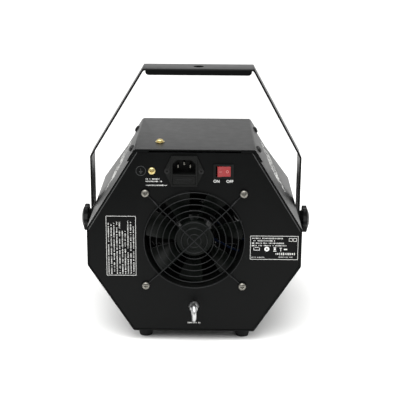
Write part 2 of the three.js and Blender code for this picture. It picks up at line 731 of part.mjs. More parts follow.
function addRearFittings() {
  const face = REAR_Y - PANEL_RECESS;
  const inlet = new THREE.Group();
  inlet.position.set(INLET_X, face, INLET_Z + FOOT_H);
  machine.add(inlet);
  add('inlet_body', inletBody(), blackPlastic, [0, 0, 0], inlet);
  const pins = [['earth', 0, 7.4], ['live', 6.6, 4.1], ['neutral', -6.6, 4.1]];
  for (const [name, x, z] of pins) add(`inlet_pin_${name}`, inletPin(), nickel, [x, 0, z - 0.1], inlet);
  add('fuse_drawer', fuseDrawer(), blackPlastic, [0, 3, -DRAWER.down], inlet);
  const fuse = bar(2.4, [-10, 0, 0], [10, 0, 0]);
  add('fuse', fuse, glass, [0, 3 - 8.2, -DRAWER.down - 0.4], inlet);
  [-1, 1].forEach((side, i) => {
    const screw = countersunk(3, 1.7, 1.4, 7);
    add(`inlet_screw_${i === 0 ? 'left' : 'right'}`, screw, blackPaint, [side * INLET_SCREW, 2.2, 0], inlet);
  });
  add('switch_body', switchBody(), blackPlastic, [SWITCH_X, face, SWITCH_Z + FOOT_H]);
  const rocker = add('switch_rocker', rockerKey(), redPlastic, [SWITCH_X, face - ROCKER.pivot, SWITCH_Z + FOOT_H]);
  rocker.rotation.z = THREE.MathUtils.degToRad(ROCKER.tilt);
  const [earthX, earthZ] = EARTH_SCREW;
  add('earth_screw', panHead(4.1, 2.4, 1.9, 9), brass, [earthX, face + 0.1, earthZ + FOOT_H]);
  const eyeZ = EYE_Z + FOOT_H;
  add('eye_bolt', eyeBolt(), nickel, [0, REAR_Y, eyeZ]);
  add('eye_bolt_nut', hexNut(10, 5, 3.3), nickel, [0, face + 0.2, eyeZ]);
  add('eye_bolt_lock_nut', hexNut(10, 5, 3.3), zinc, [0, face - SHEET - 5.3, eyeZ]);
}

function addFan() {
  const z = FAN_Z + FOOT_H;
  add('fan_frame', fanFrame(), blackPlastic);
  add('fan_rotor', fanRotor(), blackPlastic, [0, REAR_Y - ROTOR_DEEP[0], z]);
  const face = REAR_Y - PANEL_RECESS;
  add('fan_guard', fanGuard(), blackWire, [0, face + 0.1, z]);
  const names = ['upper_right', 'upper_left', 'lower_left', 'lower_right'];
  fanCorners().forEach(([x, height], i) => {
    add(`fan_screw_${names[i]}`, panHead(4.3, 2.5, 1.9, 16), nickel, [x, face + 2.5, height]);
  });
}

function addYoke() {
  add('yoke', yoke(), blackPaint, [0, 0, pivotZ]);
  for (const side of [-1, 1]) {
    const hand = side < 0 ? 'left' : 'right';
    const turned = new THREE.Group();
    turned.position.z = pivotZ;
    turned.rotation.z = side < 0 ? Math.PI : 0;
    machine.add(turned);
    add(`knob_${hand}`, starKnob(), blackPlastic, [YOKE_HALF + GAP, 0, 0], turned);
    add(`knob_stud_${hand}`, bar(STUD_R, [104, 0, 0], [YOKE_HALF + 6.6, 0, 0]), zinc, [0, 0, 0], turned);
    const washer = ring(9, STUD_R + GAP, 2).rotateZ(-Math.PI / 2);
    add(`pivot_washer_${hand}`, washer, zinc, [CASE_SIDE_HIGH[0] + GAP, 0, 0], turned);
    const nut = hexNut(12, 6, STUD_R + 0.4).rotateZ(-Math.PI / 2);
    add(`pivot_nut_${hand}`, nut, zinc, [CASE_SIDE_HIGH[0] - SHEET - GAP - 6, 0, 0], turned);
  }
}

function addWheelDrive() {
  const z = FAN_Z + FOOT_H;
  const bracketFront = REAR_Y - BULKHEAD_DEEP + GAP;
  add('motor_bracket', motorBracket(), zinc, [0, bracketFront, z]);
  const motorFront = bracketFront + 2 + GAP;
  add('gear_motor', gearMotor(), zinc, [0, motorFront, z]);
  const wheelY = REAR_Y - WHEEL_DEEP;
  add('wheel_shaft', bar(SHAFT_R, [0, motorFront + 11.6, z], [0, wheelY - 15, z]), zinc);
  add('wand_wheel', wandWheel(), blackPlastic, [0, wheelY, z]);
  add('wheel_nut', ring(8, SHAFT_R + GAP, 8, 20), brass, [0, wheelY - 14.3, z]);
  add('fluid_tank', fluidTank(), blackPlastic);
}

// the leads between inlet, switch, terminal block, fan and motor; each [x, deep, height]
function addWiring() {
  const lead = (name, points, radius, material) => {
    const route = points.map(([x, deep, z]) => [x, REAR_Y - deep, z + FOOT_H]);
    add(name, wire(route, radius, 6, 16), material);
  };
  const deepFace = REAR_Y - BULKHEAD_DEEP + GAP;
  add('terminal_block', box([-96, deepFace, 88 + FOOT_H], [-76, deepFace + 14, 112 + FOOT_H]), whitePlastic);
  lead('lead_inlet_to_switch', [[5, 25.6, 186], [3, 34, 188], [-12, 40, 191], [-26, 34, 187], [-28, 21.4, 184]], 1.4,
    brownWire);
  lead('lead_switch_to_block', [[-33, 21.4, 182], [-35, 34, 181], [-58, 50, 170], [-80, 58, 140], [-86, 62, 120],
    [-86, 66, 112.8]], 1.4, brownWire);
  lead('lead_block_to_fan', [[-90, 66, 87.6], [-90, 62, 80], [-76, 54, 74], [-48, 48, 78], [-22, 45, 92],
    [-12, 41.8, 98]], 1.4, blueWire);
  lead('lead_block_to_motor', [[-80, 66, 87.6], [-78, 62, 82], [-62, 60, 84], [-42, 62, 94], [-29, 68, 101],
    [-25.8, 71, 103]], 1.4, blueWire);
}

addCasing();
addFeet();
addRearFittings();
addFan();
addYoke();
addWheelDrive();
addWiring();

export default machine;
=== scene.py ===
import json
import math

import bmesh
import bpy
from mathutils import Matrix, Vector


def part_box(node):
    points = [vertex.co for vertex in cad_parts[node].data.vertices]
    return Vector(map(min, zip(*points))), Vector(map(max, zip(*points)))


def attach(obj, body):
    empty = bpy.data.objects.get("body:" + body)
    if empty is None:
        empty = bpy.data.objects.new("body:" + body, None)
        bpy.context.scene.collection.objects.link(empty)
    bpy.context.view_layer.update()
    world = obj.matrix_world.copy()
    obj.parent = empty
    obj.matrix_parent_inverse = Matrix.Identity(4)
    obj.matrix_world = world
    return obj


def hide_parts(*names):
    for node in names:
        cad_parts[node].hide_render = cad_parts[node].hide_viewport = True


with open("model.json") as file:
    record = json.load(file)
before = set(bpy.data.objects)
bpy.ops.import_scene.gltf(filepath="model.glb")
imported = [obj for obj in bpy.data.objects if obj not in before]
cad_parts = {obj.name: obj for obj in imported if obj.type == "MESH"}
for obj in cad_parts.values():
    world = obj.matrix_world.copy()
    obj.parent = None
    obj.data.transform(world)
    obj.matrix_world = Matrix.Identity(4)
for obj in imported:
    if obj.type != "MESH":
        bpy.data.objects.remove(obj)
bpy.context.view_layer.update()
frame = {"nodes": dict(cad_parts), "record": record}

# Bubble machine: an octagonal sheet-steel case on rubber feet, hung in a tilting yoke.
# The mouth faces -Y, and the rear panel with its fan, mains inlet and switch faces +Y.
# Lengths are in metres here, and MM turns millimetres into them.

MM = 0.001
AXIS_X = Vector((1, 0, 0))
AXIS_Y = Vector((0, 1, 0))
AXIS_Z = Vector((0, 0, 1))
BODY_OF = {n: body for body, nodes in frame["record"]["behaviour"]["bodies"].items() for n in nodes}
SLOT_OF = {part["node"]: part["material_slot"] for part in frame["record"]["subparts"]}

# ------------------------------------------------------------------ measures from the frame

PANEL_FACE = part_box("rear_panel")[1].y


def centre(node):
    low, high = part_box(node)
    return (low + high) / 2


FAN = centre("fan_rotor")
FAN_RADIUS = (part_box("fan_rotor")[1].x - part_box("fan_rotor")[0].x) / 2
PIVOT = centre("knob_right")

# The feet lift the case this far, and its upper slopes run in and rise by these.
CASE_FLOOR = 12 * MM
SLOPE_RUN = 53.1 * MM
SLOPE_RISE = 85.8 * MM


# -------------------------------------------------------------------------------- materials

def add_node(tree, kind, inputs=None, **settings):
    """Adds a node. inputs gives a socket, by name or number, its value or what feeds it."""
    node = tree.nodes.new(kind)
    for name, value in settings.items():
        setattr(node, name, value)
    for key, value in (inputs or {}).items():
        for one in value if isinstance(value, list) else [value]:
            if isinstance(one, bpy.types.NodeSocket):
                tree.links.new(one, node.inputs[key])
            else:
                node.inputs[key].default_value = one
    return node


def linear(hex_colour):
    """An sRGB hex colour as linear red, green, blue and alpha."""
    parts = [int(hex_colour[i:i + 2], 16) / 255 for i in (1, 3, 5)]
    return tuple(p / 12.92 if p <= 0.04045 else ((p + 0.055) / 1.055) ** 2.4 for p in parts) + (1.0,)


def per_mm(size):
    """The noise scale that gives features of about this many millimetres."""
    return 1 / (size * MM)


def start_material(name, roughness, metallic=0.0, ior=1.5, specular=0.5):
    material = bpy.data.materials.new(name)
    material.use_nodes = True
    tree = material.node_tree
    shader = tree.nodes["Principled BSDF"]
    shader.inputs["Metallic"].default_value = metallic
    shader.inputs["Roughness"].default_value = roughness
    shader.inputs["IOR"].default_value = ior
    shader.inputs["Specular IOR Level"].default_value = specular
    return material, tree, shader


def object_noise(tree, size, detail=3.0, roughness=0.55, stretch=(1, 1, 1)):
    """Noise fixed to the piece, with features of about size millimetres."""
    place = add_node(tree, "ShaderNodeTexCoord").outputs["Object"]
    scaled = add_node(tree, "ShaderNodeMapping", {"Vector": place, "Scale": stretch})
    sizes = {"Vector": scaled.outputs[0], "Scale": per_mm(size), "Detail": detail, "Roughness": roughness}
    return add_node(tree, "ShaderNodeTexNoise", sizes).outputs["Fac"]


def spread(tree, value, low, high, start=0.3, end=0.7):
    ranges = {"Value": value, "From Min": start, "From Max": end, "To Min": low, "To Max": high}
    return add_node(tree, "ShaderNodeMapRange", ranges).outputs[0]


def colour_between(tree, factor, dark, light):
    colours = {"Factor": factor, 6: linear(dark), 7: linear(light)}
    return add_node(tree, "ShaderNodeMix", colours, data_type="RGBA").outputs[2]


def surface(tree, shader, height, depth_mm, strength=1.0):
    """Raises the surface by height, up to depth_mm millimetres."""
    bump = {"Height": height, "Distance": depth_mm * MM, "Strength": strength}
    tree.links.new(add_node(tree, "ShaderNodeBump", bump).outputs[0], shader.inputs["Normal"])


def grained(name, dark, light, rough, grain_mm, depth_mm, mottle_mm, **finish):
    """A surface whose colour and gloss wander a little over a fine grain.

    The real grain of these finishes is 0.05 to 0.3 mm across, too fine to show, so each is
    drawn at grain_mm. Where a comment gives another real size, that one holds.
    """
    material, tree, shader = start_material(name, sum(rough) / 2, **finish)
    mottle = object_noise(tree, mottle_mm)
    grain = object_noise(tree, grain_mm, detail=2.0)
    tree.links.new(colour_between(tree, mottle, dark, light), shader.inputs["Base Color"])
    tree.links.new(spread(tree, mottle, rough[0], rough[1]), shader.inputs["Roughness"])
    surface(tree, shader, grain, depth_mm)
    return material


# Polyester powder, sprayed on steel and baked: satin black with a fine orange peel. The real
# peel is about 0.6 mm across; it is drawn at 1.5 mm so that it shows.
powder_coat = grained(
    "satin_black_powder_coat", "#070808", "#0a0b0b", rough=(0.34, 0.38),
    grain_mm=1.5, depth_mm=0.03, mottle_mm=9, specular=0.1)

# A painted highlight for the rim's rounded edge along the upper slopes: the same coat, greyer and glossier,
# so that the edge shows as a light line.
rim_highlight_coat = grained(
    "burnished_powder_coat_edge", "#424343", "#505151", rough=(0.22, 0.30),
    grain_mm=1.5, depth_mm=0.02, mottle_mm=9, specular=0.6)

# ABS from a spark-eroded mould: black, matt and even.
moulded_abs = grained(
    "moulded_black_abs", "#0b0c0b", "#101110", rough=(0.40, 0.50),
    grain_mm=0.7, depth_mm=0.02, mottle_mm=14, ior=1.53, specular=0.16)

# Glass-filled PBT, injection moulded: the fan's smooth blades have a soft sheen.
fan_pbt = grained(
    "moulded_fan_pbt", "#0b0e0c", "#111412", rough=(0.30, 0.38),
    grain_mm=2.5, depth_mm=0.012, mottle_mm=22, ior=1.55, specular=0.08)

# Phenolic, compression moulded: black and matt, with a faint sheen on its edges.
knob_phenolic = grained(
    "moulded_black_phenolic", "#090909", "#0e0e0f", rough=(0.42, 0.5),
    grain_mm=1.2, depth_mm=0.012, mottle_mm=10, ior=1.6, specular=0.1)

# Steel wire dipped in black lacquer: thin, glossy and slightly uneven.
lacquered_wire = grained(
    "black_lacquered_wire", "#0e0f10", "#141617", rough=(0.28, 0.36),
    grain_mm=3.0, depth_mm=0.02, mottle_mm=12, ior=1.52, specular=0.24)

# Moulded rubber with a dusty bloom.
moulded_rubber = grained(
    "moulded_black_rubber", "#0e0e0e", "#191919", rough=(0.72, 0.86),
    grain_mm=0.5, depth_mm=0.03, mottle_mm=6, specular=0.3)

# Zinc plate over pressed steel: pale grey metal with cloudy gloss.
zinc_plate = grained(
    "bright_zinc_plated_steel", "#85898b", "#9da1a3", rough=(0.32, 0.46),
    grain_mm=1.0, depth_mm=0.006, mottle_mm=7, metallic=1.0)

# Nickel plate over turned steel: bright, warm white metal.
nickel_plate = grained(
    "bright_nickel_plate", "#bfc0c0", "#d6d7d7", rough=(0.24, 0.34),
    grain_mm=0.9, depth_mm=0.005, mottle_mm=4, metallic=1.0)

# The same plate on screws and pins, dulled by handling and darkened further as painted shade: greyer than on
# the eye bolt.
dull_and_shaded_nickel = grained(
    "dull_nickel_plated_screw", "#78766f", "#918f88", rough=(0.26, 0.38),
    grain_mm=0.9, depth_mm=0.006, mottle_mm=3, metallic=1.0)

# Zinc plate with a black passivate, on the sheet and can inside: near-black, with a faint gloss. Its
# darkness is partly painted shade, for the dim inside of the case.
blackened_zinc_and_shade = grained(
    "black_passivated_zinc", "#151617", "#1e1f21", rough=(0.42, 0.54),
    grain_mm=1.2, depth_mm=0.01, mottle_mm=12, metallic=0.5)

# Thin enamel ink on the red rocker: pale pink, because the red shows through it.
faded_ink = grained(
    "faded_screen_ink", "#b9706c", "#c8827c", rough=(0.4, 0.5),
    grain_mm=0.6, depth_mm=0.004, mottle_mm=2)

# Turned brass: pale yellow, a little dulled by handling.
turned_brass = grained(
    "turned_brass", "#c9b677", "#dccd98", rough=(0.24, 0.36),
    grain_mm=0.5, depth_mm=0.006, mottle_mm=3, metallic=1.0)

# Black oxide on steel screws: a dark metal film that keeps some gloss.
black_oxide = grained(
    "black_oxide_steel", "#1b1b1b", "#262626", rough=(0.34, 0.46),
    grain_mm=0.8, depth_mm=0.006, mottle_mm=3, metallic=0.6)

# Screen-printed enamel ink: flat off-white with a slightly worn gloss.
white_ink = grained(
    "white_screen_ink", "#d9dad7", "#efefec", rough=(0.45, 0.6),
    grain_mm=0.6, depth_mm=0.004, mottle_mm=2)

# The earth disc's ink: thin and grey, so that it barely stands out from the coat.
grey_ink = grained(
    "grey_screen_ink", "#3c3e3e", "#484a4a", rough=(0.45, 0.6),
    grain_mm=0.6, depth_mm=0.004, mottle_mm=2)

# Nylon 6 in its own colour: creamy white, with a waxy gloss.
natural_nylon = grained(
    "moulded_natural_nylon", "#d2cebf", "#e2dfd3", rough=(0.38, 0.5),
    grain_mm=1.4, depth_mm=0.015, mottle_mm=18, ior=1.53)

# PVC insulation drawn over copper: smooth and slightly soft.
brown_pvc = grained(
    "brown_pvc_insulation", "#4a2a17", "#5c351e", rough=(0.38, 0.5),
    grain_mm=1.0, depth_mm=0.01, mottle_mm=12, ior=1.53)
# The blue lead is darkened as painted shade, for the dim inside of the case.
shade_darkened_blue_lead = grained(
    "blue_pvc_insulation", "#0f1f3d", "#142749", rough=(0.38, 0.5),
    grain_mm=1.0, depth_mm=0.01, mottle_mm=12, ior=1.53)

# Sand-filled glass of a small fuse: pale, cloudy and glossy.
fuse_tube = grained(
    "pale_fuse_glass", "#b9c4c6", "#cdd6d7", rough=(0.08, 0.14),
    grain_mm=2.0, depth_mm=0.002, mottle_mm=4, ior=1.5)


def red_key():
    """Polycarbonate, injection moulded in red: clear enough for light to sink in."""
    material, tree, shader = start_material("moulded_red_polycarbonate", 0.26, ior=1.58)
    cloud = object_noise(tree, 4)
    tree.links.new(colour_between(tree, cloud, "#8a2527", "#9f3031"), shader.inputs["Base Color"])
    shader.inputs["Subsurface Weight"].default_value = 0.2
    shader.inputs["Subsurface Radius"].default_value = (1.0, 0.15, 0.1)
    shader.inputs["Subsurface Scale"].default_value = 1.2 * MM
    surface(tree, shader, object_noise(tree, 0.8), 0.008)
    return material


red_polycarbonate = red_key()

FINISH_OF = {
    "powder_coat": powder_coat,
    "black_plastic": moulded_abs,
    "guard_wire": lacquered_wire,
    "rubber": moulded_rubber,
    "zinc_steel": zinc_plate,
    "brass": turned_brass,
    "nickel": nickel_plate,
    "black_screw": black_oxide,
    "red_plastic": red_polycarbonate,
    "white_nylon": natural_nylon,
    "fuse_glass": fuse_tube,
    "lead_blue": shade_darkened_blue_lead,
    "lead_brown": brown_pvc,
}


# ----------------------------------------------------------------------------- mesh helpers

def piece_from(mesh, name, material=None):
    if material:
        if mesh.materials:
            mesh.materials.clear()
        mesh.materials.append(material)
    mesh.name = name
    piece = bpy.data.objects.new(name, mesh)
    bpy.context.scene.collection.objects.link(piece)
    return piece


def piece_of(bm, name, material, smooth=38):
    """Turns a bmesh into a piece, smooth except over edges sharper than this many degrees."""
    bmesh.ops.remove_doubles(bm, verts=bm.verts, dist=1e-6)
    bmesh.ops.recalc_face_normals(bm, faces=bm.faces)
    mesh = bpy.data.meshes.new(name)
    bm.to_mesh(mesh)
    bm.free()
    mesh.shade_smooth()
    mesh.set_sharp_from_angle(angle=math.radians(smooth))
    return piece_from(mesh, name, material)


def baked(piece):
    """Applies the piece's modifiers, and leaves a plain mesh."""
    bpy.context.view_layer.update()
    graph = bpy.context.evaluated_depsgraph_get()
    mesh = bpy.data.meshes.new_from_object(piece.evaluated_get(graph))
    piece.modifiers.clear()
    old = piece.data
    piece.data = mesh
    bpy.data.meshes.remove(old)
    mesh.name = piece.name
    return piece


def eased(piece, width_mm, segments=2, angle=30):
    """Breaks the sharp edges, as tumbling, deburring or a mould's own radius does."""
    bevel = piece.modifiers.new("edge", "BEVEL")
    bevel.width = width_mm * MM
    bevel.segments = segments
    bevel.limit_method = "ANGLE"
    bevel.angle_limit = math.radians(angle)
    bevel.harden_normals = True
    return baked(piece)


def stands_for(piece, *nodes):
    """The piece rides on the nodes' body, and is shown in their place, with the nodes hidden."""
    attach(piece, BODY_OF[nodes[0]])
    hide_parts(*nodes)
    return piece


def rides_with(piece, node):
    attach(piece, BODY_OF[node])
    return piece


def bmesh_of(node):
    """The node's mesh as flat faces, with its loose triangles merged."""
    bm = bmesh.new()
    bm.from_mesh(frame["nodes"][node].data)
    bmesh.ops.remove_doubles(bm, verts=bm.verts, dist=2e-6)
    bmesh.ops.dissolve_limit(bm, angle_limit=math.radians(0.4), verts=bm.verts, edges=bm.edges)
    return bm


LEAST_TURN = 10
FOLD_TURN = (20, 75)
FOLD_LENGTH = 15 * MM


def round_edges(bm, chosen, radius_mm, segments=5, slot=0):
    """Gives chosen edges a radius, in that slot's material. Seams of flat faces are left alone."""
    groups = {}
    for edge in bm.edges:
        if len(edge.link_faces) == 2 and chosen(edge):
            groups.setdefault(round(math.degrees(edge.calc_face_angle())), []).append(edge)
    for degrees, edges in groups.items():
        if degrees < LEAST_TURN:
            continue
        width = radius_mm * MM * math.tan(math.radians(degrees) / 2)
        live = [edge for edge in edges if edge.is_valid]
        bmesh.ops.bevel(bm, geom=live, offset=width, offset_type="OFFSET", segments=segments,
                        profile=0.5, affect="EDGES", clamp_overlap=True, material=slot)


def runs_along(edge, axis):
    return abs((edge.verts[1].co - edge.verts[0].co).normalized().dot(axis)) > 0.999


def is_fold(edge):
    """A bend line of a sheet: long, along Y, and not one of the sheet's square edges."""
    turn = math.degrees(edge.calc_face_angle())
    long_enough = edge.calc_length() > FOLD_LENGTH
    return runs_along(edge, AXIS_Y) and FOLD_TURN[0] < turn < FOLD_TURN[1] and long_enough


def is_outer(edge):
    """True on the outside of a bend, where the faces turn away from each other."""
    return edge.is_convex


def filleted(points, radius, steps=4, closed=False):
    """A line of 2D points with its corners rounded."""
    count = len(points)
    line = []
    for i, point in enumerate(points):
        here = Vector(point)
        if not closed and i in (0, count - 1):
            line.append(here)
            continue
        before = Vector(points[i - 1]) - here
        after = Vector(points[(i + 1) % count]) - here
        reach = min(radius, before.length * 0.45, after.length * 0.45)
        start = here + before.normalized() * reach
        end = here + after.normalized() * reach
        for step in range(steps + 1):
            t = step / steps
            line.append(start * (1 - t) ** 2 + here * 2 * t * (1 - t) + end * t ** 2)
    return line


def turned(profile, segments=48):
    """A profile of radius and height, turned round +Y. Zero radius closes it on the axis."""
    bm = bmesh.new()
    rings = []
    for radius, height in profile:
        if radius < 1e-7:
            rings.append([bm.verts.new((0, height, 0))])
            continue
        angles = [2 * math.pi * i / segments for i in range(segments)]
        rings.append([bm.verts.new((radius * math.sin(a), height, radius * math.cos(a))) for a in angles])
    loops = list(zip(rings, rings[1:]))
    if len(rings[0]) > 1 and len(rings[-1]) > 1:
        loops.append((rings[-1], rings[0]))
    for lower, upper in loops:
        join_rings(bm, lower, upper)
    return bm


def join_rings(bm, lower, upper):
    count = max(len(lower), len(upper))
    for i in range(count):
        j = (i + 1) % count
        corners = [lower[i % len(lower)], lower[j % len(lower)]]
        corners += [upper[j % len(upper)], upper[i % len(upper)]]
        unique = list(dict.fromkeys(corners))
        if len(unique) > 2:
            bm.faces.new(unique)


def drawn(outline, low, high):
    """An outline of x and z, drawn along Y from low to high."""
    bm = bmesh.new()
    ends = [[bm.verts.new((x, y, z)) for x, z in outline] for y in (low, high)]
    join_rings(bm, *ends)
    for end in ends:
        bm.faces.new(end)
    return bm


def block(x, y, z):
    """A rectangular bar about the origin, for a rib or a cut."""
    bm = bmesh.new()
    bmesh.ops.create_cube(bm, size=1)
    bmesh.ops.scale(bm, vec=(x, y, z), verts=bm.verts)
    return bm


def tube_along(points, radius, sides=12, closed=False):
    """A round bar whose middle follows the points."""
    bm = bmesh.new()
    count = len(points)
    rings = []
    for i, point in enumerate(points):
        before = points[i - 1] if closed or i else point
        after = points[(i + 1) % count] if closed or i < count - 1 else point
        turn = AXIS_Z.rotation_difference((after - before).normalized()).to_matrix()
        angles = [2 * math.pi * k / sides for k in range(sides)]
        rings.append([bm.verts.new(point + turn @ Vector((radius * math.cos(a), radius * math.sin(a), 0)))
                      for a in angles])
    for lower, upper in zip(rings, rings[1:]):
        join_rings(bm, lower, upper)
    if closed:
        join_rings(bm, rings[-1], rings[0])
    else:
        bm.faces.new(rings[0])
        bm.faces.new(rings[-1])
    return bm


def moved(bm, place, turn=None):
    matrix = Matrix.Translation(place) @ (turn.to_4x4() if turn else Matrix.Identity(4))
    bmesh.ops.transform(bm, matrix=matrix, verts=bm.verts)
    return bm


def merged(first, *others):
    """Puts several bmeshes in one, as shells that pass through each other."""
    for other in others:
        mesh = bpy.data.meshes.new("part")
        bmesh.ops.recalc_face_normals(other, faces=other.faces)
        other.to_mesh(mesh)
        other.free()
        first.from_mesh(mesh)
        bpy.data.meshes.remove(mesh)
    return first


# --------------------------------------------------------------------------- geometry nodes

def new_tree(name, sockets):
    """A geometry tree with named inputs, after the base geometry."""
    tree = bpy.data.node_groups.new(name, "GeometryNodeTree")
    tree.interface.new_socket(name="Geometry", in_out="INPUT", socket_type="NodeSocketGeometry")
    for label, kind in sockets.items():
        tree.interface.new_socket(name=label, in_out="INPUT", socket_type="NodeSocket" + kind)
    tree.interface.new_socket(name="Geometry", in_out="OUTPUT", socket_type="NodeSocketGeometry")
    return tree, tree.nodes.new("NodeGroupInput").outputs


def close_tree(tree, geometry, material):
    """Ends a tree in Realize Instances and Set Material."""
    real = add_node(tree, "GeometryNodeRealizeInstances", {"Geometry": geometry})
    done = add_node(tree, "GeometryNodeSetMaterial", {"Geometry": real.outputs[0], "Material": material})
    add_node(tree, "NodeGroupOutput", {0: done.outputs[0]})
    return tree


def grown(tree, name, points, values, smooth=38):
    """Runs a tree on bare points, and returns the plain mesh that it makes."""
    mesh = bpy.data.meshes.new(name)
    places = [p[0] for p in points]
    mesh.from_pydata(places, [], [])
    outwards = mesh.attributes.new("outward", "FLOAT_VECTOR", "POINT")
    for i, (_, direction) in enumerate(points):
        outwards.data[i].vector = direction
    piece = piece_from(mesh, name)
    modifier = piece.modifiers.new("grow", "NODES")
    modifier.node_group = tree
    for item in tree.interface.items_tree:
        if item.in_out == "INPUT" and item.name in values:
            modifier[item.identifier] = values[item.name]
    baked(piece)
    piece.data.set_sharp_from_angle(angle=math.radians(smooth))
    return piece


def set_on_points():
    """Sets a master shape on each point, with its +Y turned to the point's outward direction."""
    sockets = {"Shape": "Object", "Size": "Float", "Material": "Material"}
    tree, given = new_tree("set_on_points", sockets)
    shape = add_node(tree, "GeometryNodeObjectInfo", {"Object": given["Shape"]})
    outward = add_node(tree, "GeometryNodeInputNamedAttribute", {"Name": "outward"},
                       data_type="FLOAT_VECTOR")
    turn = add_node(tree, "FunctionNodeAlignRotationToVector", {"Vector": outward.outputs[0]}, axis="Y")
    copies = add_node(tree, "GeometryNodeInstanceOnPoints", {
        "Points": given["Geometry"], "Instance": shape.outputs["Geometry"],
        "Rotation": turn.outputs[0], "Scale": given["Size"]})
    return close_tree(tree, copies.outputs[0], given["Material"])


def set_round_axis():
    """Repeats a master shape round the Y axis through each point."""
    sockets = {"Shape": "Object", "Count": "Int", "First": "Float", "Material": "Material"}
    tree, given = new_tree("set_round_axis", sockets)
    shape = add_node(tree, "GeometryNodeObjectInfo", {"Object": given["Shape"]})
    line = add_node(tree, "GeometryNodeMeshLine", {"Count": given["Count"], "Offset": (0, 0, 0)})
    index = add_node(tree, "GeometryNodeInputIndex")
    step = add_node(tree, "ShaderNodeMath", {0: 2 * math.pi, 1: given["Count"]}, operation="DIVIDE")
    angle = add_node(tree, "ShaderNodeMath", {0: index.outputs[0], 1: step.outputs[0], 2: given["First"]},
                     operation="MULTIPLY_ADD")
    turn = add_node(tree, "ShaderNodeCombineXYZ", {"Y": angle.outputs[0]})
    wheel = add_node(tree, "GeometryNodeInstanceOnPoints", {
        "Points": line.outputs[0], "Instance": shape.outputs["Geometry"], "Rotation": turn.outputs[0]})
    placed = add_node(tree, "GeometryNodeInstanceOnPoints", {
        "Points": given["Geometry"], "Instance": wheel.outputs[0]})
    return close_tree(tree, placed.outputs[0], given["Material"])


def guard_hoops():
    """Concentric wire hoops round the Y axis through each point."""
    sockets = {"Hoops": "Int", "First radius": "Float", "Step": "Float", "Wire radius": "Float",
               "Material": "Material"}
    tree, given = new_tree("guard_hoops", sockets)
    line = add_node(tree, "GeometryNodeMeshLine", {"Count": given["Hoops"], "Offset": (0, 0, 0)})
    index = add_node(tree, "GeometryNodeInputIndex")
    radius = add_node(tree, "ShaderNodeMath", {
        0: index.outputs[0], 1: given["Step"], 2: given["First radius"]}, operation="MULTIPLY_ADD")
    circle = add_node(tree, "GeometryNodeCurvePrimitiveCircle", {"Resolution": 96, "Radius": 1.0})
    upright = (math.pi / 2, 0, 0)
    hoops = add_node(tree, "GeometryNodeInstanceOnPoints", {
        "Points": line.outputs[0], "Instance": circle.outputs[0], "Rotation": upright,
        "Scale": radius.outputs[0]})
    loose = add_node(tree, "GeometryNodeRealizeInstances", {"Geometry": hoops.outputs[0]})
    section = add_node(tree, "GeometryNodeCurvePrimitiveCircle", {
        "Resolution": 10, "Radius": given["Wire radius"]})
    wire = add_node(tree, "GeometryNodeCurveToMesh", {
        "Curve": loose.outputs[0], "Profile Curve": section.outputs[0]})
    placed = add_node(tree, "GeometryNodeInstanceOnPoints", {
        "Points": given["Geometry"], "Instance": wire.outputs[0]})
    return close_tree(tree, placed.outputs[0], given["Material"])


def letter_slots(tree, given):
    """A point for each letter that the rows have room for."""
    along = add_node(tree, "ShaderNodeCombineXYZ", {"X": given["Letter pitch"]})
    down = add_node(tree, "ShaderNodeMath", {0: given["Row pitch"], 1: -1.0}, operation="MULTIPLY")
    drop = add_node(tree, "ShaderNodeCombineXYZ", {"Z": down.outputs[0]})
    row = add_node(tree, "GeometryNodeMeshLine", {"Count": given["Letters"], "Offset": along.outputs[0]})
    rows = add_node(tree, "GeometryNodeMeshLine", {"Count": given["Rows"], "Offset": drop.outputs[0]})
    grid = add_node(tree, "GeometryNodeInstanceOnPoints", {
        "Points": rows.outputs[0], "Instance": row.outputs[0]})
    return add_node(tree, "GeometryNodeRealizeInstances", {"Geometry": grid.outputs[0]}).outputs[0]


def unused_slots(tree, given):
    """True for the slots past a row's ragged end, and for the gaps between words."""
    index = add_node(tree, "GeometryNodeInputIndex")
    share = add_node(tree, "ShaderNodeMath", {0: index.outputs[0], 1: given["Letters"]}, operation="DIVIDE")
    row_number = add_node(tree, "ShaderNodeMath", {0: share.outputs[0]}, operation="FLOOR")
    reach = add_node(tree, "ShaderNodeMath", {
        0: given["Letters"], 1: given["Letter pitch"]}, operation="MULTIPLY")
    ragged = add_node(tree, "FunctionNodeRandomValue", {
        2: given["Shortest"], 3: 1.0, "ID": row_number.outputs[0], "Seed": given["Seed"]},
        data_type="FLOAT")
    end = add_node(tree, "ShaderNodeMath", {0: ragged.outputs[1], 1: reach.outputs[0]}, operation="MULTIPLY")
    position = add_node(tree, "GeometryNodeInputPosition")
    place = add_node(tree, "ShaderNodeSeparateXYZ", {0: position.outputs[0]})
    past_end = add_node(tree, "ShaderNodeMath", {
        0: place.outputs[0], 1: end.outputs[0]}, operation="GREATER_THAN")
    chance = add_node(tree, "FunctionNodeRandomValue", {
        2: 0.0, 3: 1.0, "ID": index.outputs[0], "Seed": given["Seed"]}, data_type="FLOAT")
    gap = add_node(tree, "ShaderNodeMath", {0: chance.outputs[1], 1: given["Gaps"]}, operation="LESS_THAN")
    return add_node(tree, "ShaderNodeMath", {
        0: past_end.outputs[0], 1: gap.outputs[0]}, operation="MAXIMUM").outputs[0]


